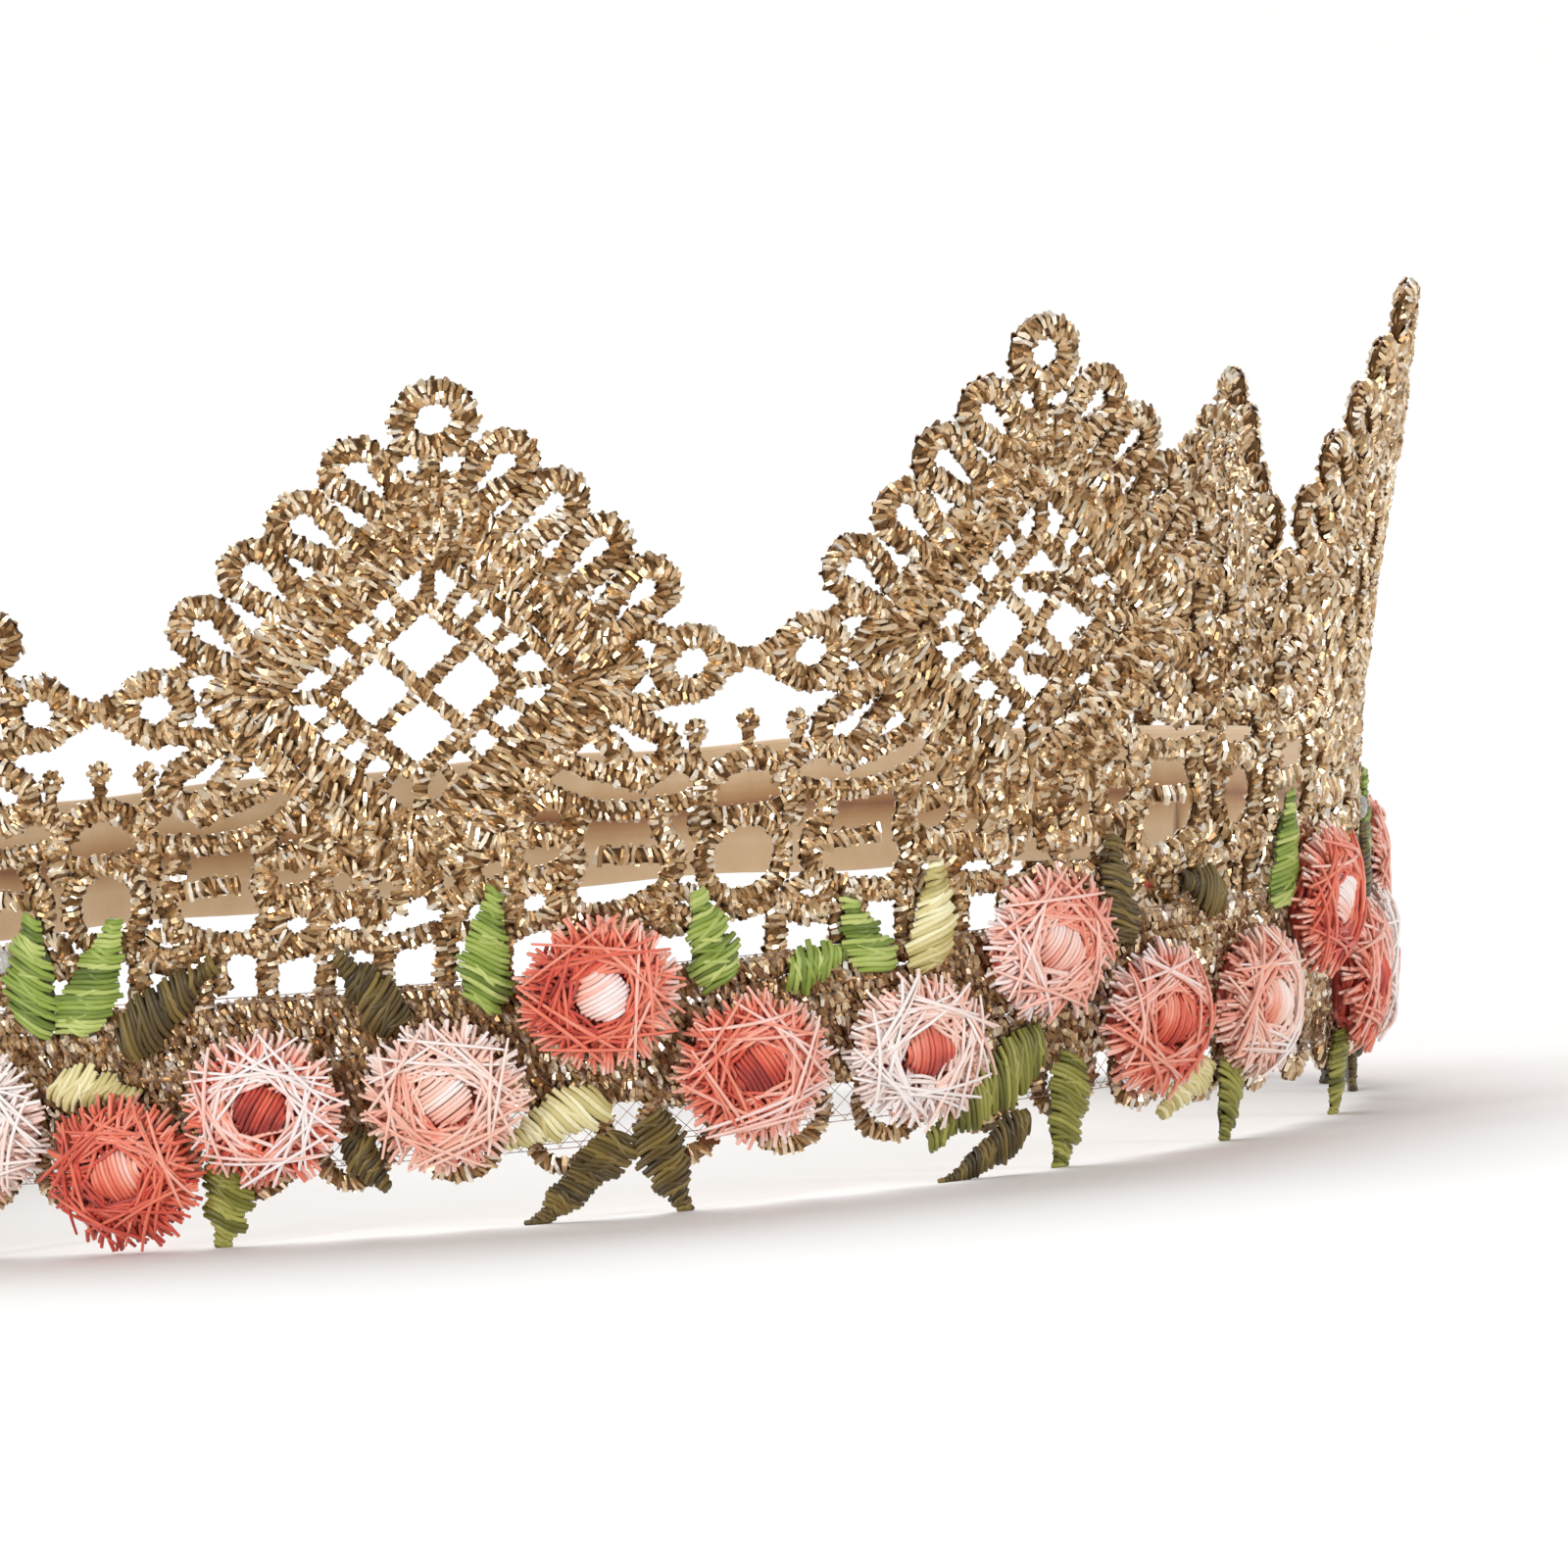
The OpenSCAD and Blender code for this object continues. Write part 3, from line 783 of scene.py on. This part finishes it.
def taper(radius, count):
    """Thick in the middle and drawn in at both ends, in metres."""
    rounds = [math.sin(math.pi * (k + 0.6) / (count + 0.2)) ** 0.4 for k in range(count)]
    return [radius * MM * (0.45 + 0.55 * r) for r in rounds]


# How each kind of rose is dyed: fringe root, fringe tip, middle layer, web, button, web threads.
ROSE_DYES = {
    "low": (0.20, 0.42, 0.30, 0.42, 0.62, 21),
    0: (0.24, 0.80, 0.30, 0.48, 0.97, 20),
    1: (0.30, 0.84, 0.40, 0.72, 0.30, 24),
    2: (0.62, 0.97, 0.82, 0.98, 0.34, 27),
    3: (0.50, 0.92, 0.66, 0.76, 0.92, 21),
    4: (0.34, 0.84, 0.42, 0.68, 0.46, 22),
    5: (0.46, 0.88, 0.62, 0.78, 0.86, 24),
    "webbed": (0.24, 0.82, 0.62, 1.0, 0.16, 27),
}


def rose_lines(i):
    """The threads of one embroidered rose, on the flat of the trim."""
    rng = random.Random(900 + i)
    kind = "low" if i == LOW_ROSE else "webbed" if i == WEBBED_ROSE else i % 6
    root, tip, middle, web, button, web_count = ROSE_DYES[kind]
    u0, v0 = rose_place(i)
    turn = rng.uniform(0, 2 * math.pi)
    drift_turn = rng.uniform(0, 2 * math.pi)
    lines = []

    def lay(points, radius, shade_a, shade_b):
        """One thread, whose dye also drifts from one side of the rose to the other."""
        placed = [trim_point(u0 + x, v0 + y, ROSE_LIFT + z) for x, y, z in points]
        count = len(points)
        middle_x, middle_y, _ = points[count // 2]
        drift = 0.15 * math.sin(math.atan2(middle_y, middle_x) + drift_turn)
        shades = [shade_a + (shade_b - shade_a) * k / (count - 1) + drift for k in range(count)]
        lines.append((placed, False, {"thick": taper(radius, count), "shade": shades}))

    # Places on the flat of the rose: threads outward from its middle, and threads that cross it.
    def spoke(r_in, r_out, a_in, a_out, z_in, z_out, lift, sag=0.0):
        return bowed(
            (r_in * math.cos(a_in), r_in * math.sin(a_in), z_in),
            (r_out * math.cos(a_out), r_out * math.sin(a_out), z_out), lift, 4, sag)

    def chord(a, d, half, z, lift, count, sag):
        cx, cy = d * math.cos(a), d * math.sin(a)
        spin = a + math.pi / 2 + rng.uniform(-0.2, 0.2)
        tx, ty = math.cos(spin), math.sin(spin)
        start = (cx - tx * half, cy - ty * half, z)
        return bowed(start, (cx + tx * half, cy + ty * half, z), lift, count, sag)

    # The under-layer that hides the pad.
    for k in range(64):
        a = turn + 2 * math.pi * (k + rng.random()) / 64
        shade = root + rng.uniform(-0.14, 0.1)
        points = chord(a, rng.uniform(4.2, 5.8), rng.uniform(1.2, 2.2), rng.uniform(-1.0, 0.5), 0.35, 4, 0.06)
        lay(points, rng.uniform(0.2, 0.26), shade, shade + rng.uniform(-0.1, 0.1))
    # The spiky fringe, in soft lobes.
    petals = 7 + i % 3
    for k in range(118):
        a = turn + 2 * math.pi * (k + rng.uniform(-0.7, 0.7)) / 118
        lobe = abs(math.sin((a - turn) * petals / 2)) ** 0.6
        lean = rng.uniform(-0.16, 0.16)
        r_out = 6.3 + 0.85 * lobe + rng.uniform(-0.75, 0.25)
        points = spoke(rng.uniform(3.4, 4.7), r_out, a, a + lean, rng.uniform(0.7, 1.25),
                       rng.uniform(-0.7, 0.8), 0.4, rng.uniform(-0.08, 0.08))
        lay(points, rng.uniform(0.17, 0.23), root + rng.uniform(-0.12, 0.14), tip + rng.uniform(-0.28, 0.1))
    # The inner spokes.
    for k in range(60):
        a = turn + 2 * math.pi * (k + rng.random()) / 60
        points = spoke(rng.uniform(1.9, 2.9), rng.uniform(4.4, 6.0), a, a + rng.uniform(-0.8, 0.8),
                       1.2, 1.1, 0.5)
        lay(points, rng.uniform(0.17, 0.22), middle + rng.uniform(-0.25, 0.1),
            middle + rng.uniform(-0.14, 0.2))
    # The swirl round the button.
    for k in range(44):
        a = turn + GOLDEN_ANGLE * k + rng.uniform(-0.2, 0.2)
        shade = middle + (web - middle) * rng.uniform(0.1, 0.8) + rng.uniform(-0.16, 0.08)
        points = chord(a, rng.uniform(2.3, 4.4), rng.uniform(1.8, 3.3), 1.35, 0.5, 5, rng.uniform(0.0, 0.12))
        lay(points, rng.uniform(0.16, 0.21), shade, shade + rng.uniform(-0.1, 0.1))
    # The long threads of the web on top.
    for k in range(web_count):
        d = rng.uniform(2.8, 4.9)
        half = math.sqrt(6.75 ** 2 - d ** 2) * rng.uniform(0.8, 1.06)
        shade = web + rng.uniform(-0.18, 0.1)
        a = turn + GOLDEN_ANGLE * k + rng.uniform(-0.3, 0.3)
        points = chord(a, d, half, 0.95, rng.uniform(1.0, 1.35), 8, rng.uniform(-0.03, 0.04))
        lay(points, rng.uniform(0.15, 0.19), shade, shade + rng.uniform(-0.1, 0.1))
    # The button's threads, side by side.
    spin = rng.uniform(0, math.pi)
    tx, ty = math.cos(spin), math.sin(spin)
    for k in range(11):
        w = -2.0 + 4.0 * k / 10
        half = math.sqrt(max(2.25 ** 2 - w ** 2, 0.25)) * rng.uniform(0.92, 1.08)
        points = bowed(
            (-ty * w - tx * half, tx * w - ty * half, 1.35), (-ty * w + tx * half, tx * w + ty * half, 1.35),
            0.85, 6, rng.uniform(-0.02, 0.02))
        shade = button + rng.uniform(-0.15, 0.1)
        lay(points, rng.uniform(0.22, 0.27), shade - 0.28, shade + 0.05)
    return lines


def turned_pad(name, u0, v0, profile, shade, count=28):
    """A round closed pad on the trim, from a profile of radius and height."""
    verts = []
    for r, z in profile:
        for k in range(count):
            a = 2 * math.pi * k / count
            verts.append(trim_point(u0 + r * math.cos(a), v0 + r * math.sin(a), z))
    faces = wall_faces(len(profile), count)
    faces.append(tuple(reversed(range(count))))
    faces.append(tuple(range(len(verts) - count, len(verts))))
    mesh = plain_mesh(name, verts, faces)
    store(mesh, "shade", [shade] * len(verts))
    mesh.shade_smooth()
    return mesh


def merged(name, piece, extra_meshes, material):
    """One piece from threads and the pads under them."""
    whole = [piece]
    for mesh in extra_meshes:
        mesh.materials.clear()
        mesh.materials.append(material)
        whole.append(show(bpy.data.objects.new(mesh.name, mesh)))
    bpy.ops.object.select_all(action="DESELECT")
    for part in whole:
        part.select_set(True)
    bpy.context.view_layer.objects.active = piece
    bpy.ops.object.join()
    piece.name = name
    return piece


# A rose pad's profile: radius, height.
ROSE_PAD = [(3.9, -ROSE_LIFT), (4.1, -0.8), (4.9, -0.1), (5.2, 0.3), (4.6, 0.85), (2.4, 1.2), (0.4, 1.35)]
# Dye colours from the deepest shade to the palest.
ROSE_INKS = {
    "rose_coral": [
        (0.0, (0.32, 0.02, 0.012)), (0.22, (0.64, 0.07, 0.035)), (0.42, (0.80, 0.18, 0.10)),
        (0.62, (0.88, 0.38, 0.27)), (0.82, (0.92, 0.61, 0.53)), (1.0, (0.92, 0.82, 0.80)),
    ],
    "rose_peach": [
        (0.0, (0.34, 0.03, 0.02)), (0.22, (0.66, 0.10, 0.06)), (0.42, (0.83, 0.26, 0.17)),
        (0.62, (0.90, 0.44, 0.33)), (0.82, (0.92, 0.64, 0.56)), (1.0, (0.90, 0.81, 0.81)),
    ],
    "rose_pale": [
        (0.0, (0.42, 0.04, 0.03)), (0.22, (0.70, 0.12, 0.07)), (0.42, (0.86, 0.33, 0.23)),
        (0.62, (0.91, 0.54, 0.42)), (0.82, (0.93, 0.71, 0.63)), (1.0, (0.94, 0.86, 0.83)),
    ],
}
ROSE_SLOTS = ("rose_coral", "rose_coral", "rose_pale", "rose_peach", "rose_coral", "rose_pale")


def build_roses(group):
    finishes = {name: thread_finish(name, stops, sheen=0.25, roughness=(0.32, 0.5), bump=0.35)
                for name, stops in ROSE_INKS.items()}
    for i in ROSES:
        slot = "rose_coral" if i == LOW_ROSE else ROSE_SLOTS[i % 6]
        name = "embroidered_" + rose_name(i)
        piece = run_tree(name, group, lines_mesh("rose_start", rose_lines(i)), {"Finish": finishes[slot]})
        # The pad gets a deep shade of 0.2: painted shade where it shows through the gaps between the threads.
        pad = turned_pad("rose_pad", *rose_place(i), ROSE_PAD, 0.2)
        merged(name, piece, [pad], finishes[slot])
        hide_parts(rose_name(i))
        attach(piece, "crown")


# Leaves of one run of sprigs: base, tip, width, shade. The run repeats round the crown.
LEAVES = [
    ((-19.8, 7.5), (-21.5, -0.4), 4.8, "olive"),
    ((-4.5, 19.2), (-9, 25.5), 4.4, "dark"),
    ((-9.2, 9), (-6.5, 4.6), 3.6, "dark"),
    ((2.8, 20.5), (4.5, 30), 4.6, "bright"),
    ((12, 11), (4, 7.5), 4.6, "cream"),
    ((14, 7.2), (5.5, -0.4), 4, "dark"),
    ((16.2, 8.5), (19.2, -0.4), 4.6, "dark"),
    ((23, 20.5), (21.5, 28.5), 4.6, "bright"),
    ((29.5, 20.4), (34.4, 21.8), 4, "bright"),
    ((37.2, 20.2), (34.8, 26.5), 4.4, "bright"),
    ((42.4, 20), (43.3, 29), 4.6, "cream"),
    ((53.5, 11.4), (42, 4), 5.4, "olive"),
    ((52, 4.6), (43, -0.4), 3.2, "dark"),
    ((57.5, 9.5), (55.7, -0.4), 4.8, "olive"),
    ((63.5, 20), (62.5, 29), 4.6, "dark"),
    ((77, 22.5), (71.5, 24.5), 4, "dark"),
    ((75, 7.5), (68.5, 3.5), 4, "cream"),
    ((79.5, 7.5), (78, -0.4), 4, "olive"),
    ((88.2, 21), (89.5, 30.5), 5.2, "bright"),
]
# Leaves that only stand above the low rose.
LOW_ROSE_LEAVES = [
    ((-32, 20.5), (-27.5, 30), 5, "bright"),
    ((-28, 19), (-19.5, 25.5), 4.6, "dark"),
    ((-34.5, 15.6), (-27.4, 14.2), 4, "cream"),
]
# A leaf's outline: share of its length, half width as a share of its width.
LEAF_EDGE = [(0.0, 0.30), (0.08, 0.42), (0.30, 0.52), (0.38, 0.40), (0.45, 0.34), (0.62, 0.38), (0.72, 0.24),
             (0.78, 0.17), (1.0, 0.13)]


def leaf_half(t, width):
    """Half of a leaf's width at a share of its length."""
    for (t0, w0), (t1, w1) in zip(LEAF_EDGE, LEAF_EDGE[1:]):
        if t <= t1:
            return width * (w0 + (w1 - w0) * (t - t0) / (t1 - t0))
    return width * LEAF_EDGE[-1][1]


def leaf_frame(base, tip):
    """A leaf's length, the way it points and the way across it."""
    run = (tip[0] - base[0], tip[1] - base[1])
    length = math.hypot(*run)
    along = (run[0] / length, run[1] / length)
    return length, along, (-along[1], along[0])


def leaf_lines(base, tip, width, rng):
    """Threads wrapped across one leaf, with a slant that changes at each of its steps."""
    length, along, across = leaf_frame(base, tip)
    lines = []

    def lay_across(y, half, lean, crown_z, shade, radius):
        points = []
        for k in range(6):
            s = k / 5 * 2 - 1
            x = s * half
            z = 0.12 + crown_z * math.sqrt(max(0.0, 1 - s * s * 0.96))
            yy = y + lean * s + 0.1 * math.sin(s * 3)
            u = base[0] + along[0] * yy + across[0] * x
            v = base[1] + along[1] * yy + across[1] * x
            points.append(trim_point(u, v, z))
        lines.append((points, False, {"thick": taper(radius, 6), "shade": shade}))

    slant = rng.choice((-1, 1)) * rng.uniform(0.3, 0.5)
    y = -0.2
    while y < length + 0.1:
        t = min(max(y / length, 0.0), 1.0)
        half = leaf_half(t, width) + rng.uniform(-0.12, 0.3)
        crown_z = 0.22 + 0.5 * min(1.0, half / 2.0)
        shade = rng.uniform(0.25, 1.0)
        lay_across(y, half, slant * half + rng.uniform(-0.2, 0.2), crown_z, shade, rng.uniform(0.28, 0.35))
        if rng.random() < 0.4:
            short = half * rng.uniform(0.5, 0.8)
            lay_across(y, short, (slant + rng.choice((-0.5, 0.5))) * short, crown_z + 0.14, shade + 0.1, 0.24)
        y += rng.uniform(0.42, 0.56)
    return lines


def leaf_pad(base, tip, width):
    """The padding under a leaf's threads."""
    length, along, across = leaf_frame(base, tip)
    verts = []
    rows = 9
    for row in range(rows):
        t = row / (rows - 1)
        half = leaf_half(t, width) * 0.86
        top = 0.1 + 0.45 * min(1.0, half / 2.0)
        edge = half * 0.8
        for x, z in ((-half, 0.05), (half, 0.05), (edge, top * 0.7), (0, top), (-edge, top * 0.7)):
            y = length * t
            u = base[0] + along[0] * y + across[0] * x
            v = base[1] + along[1] * y + across[1] * x
            verts.append(trim_point(u, v, z))
    faces = wall_faces(rows, 5)
    faces.append((4, 3, 2, 1, 0))
    faces.append(tuple(range(len(verts) - 5, len(verts))))
    mesh = plain_mesh("leaf_pad", verts, faces)
    # The padding gets a very dark shade of 0.05: painted shade in the gaps between the wrapped threads.
    store(mesh, "shade", [0.05] * len(verts))
    return mesh


LEAF_INKS = {
    "bright": [(0.0, (0.03, 0.045, 0.004)), (0.3, (0.11, 0.165, 0.014)), (0.65, (0.26, 0.35, 0.05)),
               (1.0, (0.50, 0.56, 0.17))],
    "olive": [(0.0, (0.03, 0.028, 0.003)), (0.3, (0.11, 0.11, 0.010)), (0.65, (0.23, 0.22, 0.03)),
              (1.0, (0.38, 0.36, 0.08))],
    "dark": [(0.0, (0.014, 0.008, 0.001)), (0.3, (0.045, 0.026, 0.003)), (0.65, (0.100, 0.062, 0.009)),
             (1.0, (0.21, 0.14, 0.028))],
    "cream": [(0.0, (0.20, 0.15, 0.04)), (0.3, (0.48, 0.40, 0.14)), (0.65, (0.74, 0.65, 0.32)),
              (1.0, (0.90, 0.85, 0.56))],
}


def build_leaves(group):
    run = 3 * ROSE_REPEAT
    reach = LACE_END - 4
    for n, (shade, stops) in enumerate(LEAF_INKS.items()):
        rng = random.Random(300 + n)
        finish = thread_finish("leaf_" + shade, stops, sheen=0.06, roughness=(0.32, 0.5), bump=0.35)
        placed = []
        for k in (-2, -1, 0, 1):
            for base, tip, width, tint in LEAVES:
                start = (base[0] + k * run, base[1])
                end = (tip[0] + k * run, tip[1])
                if tint == shade and max(abs(start[0]), abs(end[0])) < reach:
                    placed.append((start, end, width))
        placed.extend((base, tip, width) for base, tip, width, tint in LOW_ROSE_LEAVES if tint == shade)
        lines = []
        for leaf in placed:
            lines.extend(leaf_lines(*leaf, rng))
        name = f"wrapped_{shade}_leaves"
        piece = run_tree(name, group, lines_mesh("leaf_start", lines), {"Finish": finish})
        merged(name, piece, [leaf_pad(*leaf) for leaf in placed], finish)
        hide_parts(f"{shade}_leaves")
        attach(piece, "crown")


# ---- Net tape, glue and clear stitches ----


def build_net(group):
    low = 6.7
    high = 22.3
    end = LACE_END - 1.2
    off = LACE_WALL + 0.16
    gap = 1.7
    count = int(2 * end / gap)
    lines = []
    for k in range(-9, count + 1):
        for lean in (1, -1):
            start = -end + k * gap if lean > 0 else end - k * gap
            points = []
            for step in range(9):
                v = low + (high - low) * step / 8
                u = start + lean * (v - low)
                if abs(u) <= end:
                    points.append(on_crown(u, v, off + 0.03 * lean))
            if len(points) > 1:
                lines.append((points, False, {"thick": 0.000035, "shade": 0.6}))
    for v in (low, low + 0.5, high - 0.5, high):
        points = [on_crown(-end + 2 * end * k / 220, v, off) for k in range(221)]
        lines.append((points, False, {"thick": 0.00005, "shade": 0.6}))
    finish = thread_finish("brown_net", [(0.0, (0.20, 0.11, 0.08)), (1.0, (0.42, 0.28, 0.22))], bump=0.1)
    mesh = lines_mesh("net_start", lines)
    piece = run_tree("net_carrier_tape", group, mesh, {"Sides": 3, "Finish": finish})
    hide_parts("net_tape")
    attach(piece, "crown")


def clear_finish(name, colour, roughness):
    """A clear, faintly cloudy material."""
    made, tree, shader = new_material(name)
    place = add(tree, "ShaderNodeTexCoord").outputs["Object"]
    cloud = noise(tree, place, 900.0, 3.0)
    tint = ramp(tree, cloud, [(0.2, tuple(c * 0.9 for c in colour)), (0.8, colour)])
    wire(tree, tint, shader.inputs["Base Color"])
    set_surface(tree, shader, cloud, roughness, roughness + 0.15)
    shader.inputs["Transmission Weight"].default_value = 0.7
    shader.inputs["IOR"].default_value = 1.46
    return made


GLUE_PLACES = (-124.4, -41.0, -38.6, 124.4)
GLUE_V = 26.7
# A drop's profile: radius, height. Then the height of its top.
DROP_PROFILE = ((1.1, 0.06), (1.08, 0.3), (0.86, 0.62), (0.45, 0.8))
DROP_TOP = 0.84


def glue_drop(u0, rng, sides=16):
    """One low drop with an uneven edge."""
    wobble = [1.0 + rng.uniform(-0.08, 0.08) for _ in range(sides)]
    verts = []
    for r, z in DROP_PROFILE:
        for k in range(sides):
            a = 2 * math.pi * k / sides
            rr = r * wobble[k]
            verts.append(on_crown(u0 + rr * math.cos(a), GLUE_V + rr * math.sin(a), LACE_WALL + z))
    top = len(verts)
    verts.append(on_crown(u0, GLUE_V, LACE_WALL + DROP_TOP))
    faces = wall_faces(len(DROP_PROFILE), sides)
    faces.extend((top - sides + k, top - sides + (k + 1) % sides, top) for k in range(sides))
    faces.append(tuple(reversed(range(sides))))
    mesh = plain_mesh("glue_drop", verts, faces)
    mesh.shade_smooth()
    return mesh


def build_glue():
    rng = random.Random(61)
    finish = clear_finish("dried_clear_glue", (0.95, 0.94, 0.92), 0.12)
    meshes = [glue_drop(u0, rng) for u0 in GLUE_PLACES]
    meshes[0].materials.append(finish)
    piece = show(bpy.data.objects.new("dried_glue_drops", meshes[0]))
    merged("dried_glue_drops", piece, meshes[1:], finish)
    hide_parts("glue_drops")
    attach(piece, "crown")


def build_trim_stitches(group):
    """Short clear stitches along the inside of the lace, which hold the trim."""
    clear = clear_finish("clear_nylon", (0.92, 0.92, 0.93), 0.2)
    gap = 18.0
    half = 1.2
    lines = []
    u = -LACE_END + gap / 2
    while u < LACE_END:
        points = []
        for x in (-half, -half / 2, 0, half / 2, half):
            points.append(on_crown(u + x, 14.5 + 0.1 * x, -0.22 - 0.06 * (1 - (x / half) ** 2)))
        lines.append((points, False, {"thick": 0.00015, "shade": 0.5}))
        u += gap
    mesh = lines_mesh("stitch_start", lines)
    piece = run_tree("clear_hand_stitches", group, mesh, {"Sides": 6, "Finish": clear})
    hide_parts("trim_stitches")
    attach(piece, "crown")


def build_join_stitches(group):
    """Bars of cotton that sew each end of the elastic to the lace."""
    cotton = thread_finish("wheat_cotton", [(0.0, (0.35, 0.22, 0.11)), (1.0, (0.72, 0.54, 0.34))],
                           sheen=0.3, roughness=(0.6, 0.8), bump=0.4)
    rng = random.Random(77)
    low = ELASTIC_V + 1.0
    high = ELASTIC_V + ELASTIC_W / 2 - 1.0
    for side, word in ((-1, "left"), (1, "right")):
        lines = []
        for k in range(6):
            u = LACE_END - 47.0 + 8.0 * k
            bar = []
            for step in range(7):
                v = low + (high - low) * step / 6
                bar.append(on_crown(side * (u + rng.uniform(-0.08, 0.08)), v, -ELASTIC_T - 0.4))
            lines.append((bar, False, {"thick": taper(0.26, 7), "shade": rng.uniform(0.4, 1.0)}))
        name = f"sewn_join_{word}"
        piece = run_tree(name, group, lines_mesh("join_start", lines), {"Sides": 6, "Finish": cotton})
        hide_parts(f"join_stitches_{word}")
        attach(piece, "crown")


# ---- Elastic ----

SEWN_IN = 50.0


def satin_finish():
    """Satin with fine lengthwise ribs, soft sheen, small cross wrinkles and painted shade that darkens the
    groove between its rolls.
    """
    made, tree, shader = new_material("tan_satin")
    place = add(tree, "ShaderNodeTexCoord").outputs["UV"]
    soft = add(tree, "ShaderNodeMapping", {"Vector": place, "Scale": (60.0, 3.0, 1.0)}).outputs[0]
    cloud = noise(tree, soft, 1.0, 3.0)
    # The stored attribute is painted shade: it darkens the satin toward the groove between the rolls.
    band = add(tree, "ShaderNodeAttribute", attribute_name="fold").outputs["Fac"]
    tone = maths(tree, "ADD", band, maths(tree, "MULTIPLY", maths(tree, "SUBTRACT", cloud, 0.5), 0.35))
    wire(tree, ramp(tree, tone, [
        (0.0, (0.26, 0.09, 0.025)), (0.3, (0.46, 0.24, 0.09)), (0.7, (0.64, 0.42, 0.22)),
        (1.0, (0.78, 0.58, 0.37)),
    ]), shader.inputs["Base Color"])
    ribs = add(tree, "ShaderNodeTexWave", {"Vector": place, "Scale": 14.0, "Distortion": 0.4, "Detail": 1.0},
               bands_direction="Y")
    grain = add(tree, "ShaderNodeMapping", {"Vector": place, "Scale": (900.0, 40.0, 1.0)}).outputs[0]
    fine = noise(tree, grain, 1.0, 1.0)
    height = maths(tree, "ADD", maths(tree, "MULTIPLY", ribs.outputs[1], 0.5), fine)
    set_relief(tree, shader, height, 0.25, 0.00012)
    set_surface(tree, shader, fine, 0.38, 0.55)
    shader.inputs["Sheen Weight"].default_value = 0.35
    return made


def elastic_section(count=36):
    """Two soft rolls with a groove between them: distance inward from the lace, height, and painted shade
    that darkens toward the groove.
    """
    roll = ELASTIC_W / 4
    made = []
    for k in range(count):
        t = 2 * math.pi * k / count
        v = math.cos(t)
        height = ELASTIC_W / 2 * (1 + v)
        into = min(1.0, abs(height - ELASTIC_W / 2) / roll)
        belly = math.sin(math.pi * min(1.0, max(0.06, abs(v) * 0.98 + 0.02))) ** 0.5
        belly = max(belly, 0.42 if abs(v) < 0.5 else 0.0)
        inward = ELASTIC_T / 2 * (1 + math.copysign(belly, math.sin(t)) * min(1.0, abs(math.sin(t)) * 3))
        # The third number is painted shade: darkest in the groove, palest out on the rolls.
        made.append((inward, height, 0.02 + 0.78 * into ** 0.8))
    return made


def turn_outward(mesh):
    """Makes every face of a closed mesh point outward."""
    form = bmesh.new()
    form.from_mesh(mesh)
    bmesh.ops.recalc_face_normals(form, faces=form.faces)
    form.to_mesh(mesh)
    form.free()


def build_elastic():
    """One band from one sewn end to the other; only its free run puckers and waves."""
    end_a = (LACE_END - SEWN_IN) / RING_R
    section = elastic_section()
    count = 320
    verts = []
    groove_shades = []
    across = len(section)
    for i in range(count + 1):
        a = end_a + (2 * math.pi - 2 * end_a) * i / count
        u = a * RING_R
        hidden = min(1.0, max(0.0, (abs(a - math.pi) - (math.pi - LACE_END / RING_R)) * 12))
        pucker = 0.25 * math.sin(u * 1.1) * (1 - hidden)
        for inward, height, fold in section:
            lift = 0.22 * math.sin(u * 0.23 + height * 0.2) * (1 - hidden)
            squeeze = 1 + 0.04 * math.sin(u * 2.1 + height) * (1 - hidden)
            off = -0.06 - inward * squeeze - 0.2 * max(pucker, 0.0)
            verts.append(on_crown(u, ELASTIC_V + height + lift, off))
            groove_shades.append(fold)
    faces = wall_faces(count + 1, across)
    faces.append(tuple(reversed(range(across))))
    faces.append(tuple(range(count * across, (count + 1) * across)))
    mesh = plain_mesh("satin_elastic_band", verts, faces)
    store(mesh, "fold", groove_shades)
    layer = mesh.uv_layers.new(name="along")
    for face in mesh.polygons:
        for corner in face.loop_indices:
            index = mesh.loops[corner].vertex_index
            layer.data[corner].uv = (index // across / count, index % across / across)
    mesh.shade_smooth()
    mesh.materials.append(satin_finish())
    turn_outward(mesh)
    piece = show(bpy.data.objects.new("satin_elastic_band", mesh))
    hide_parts("elastic_left_end", "elastic_right_end", "elastic_left_side", "elastic_right_side",
                "elastic_middle")
    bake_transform(piece)


place_camera()
build_studio()
build_lace()
threads = thread_tree()
build_roses(threads)
build_leaves(threads)
build_net(threads)
build_glue()
build_trim_stitches(threads)
build_join_stitches(threads)
build_elastic()
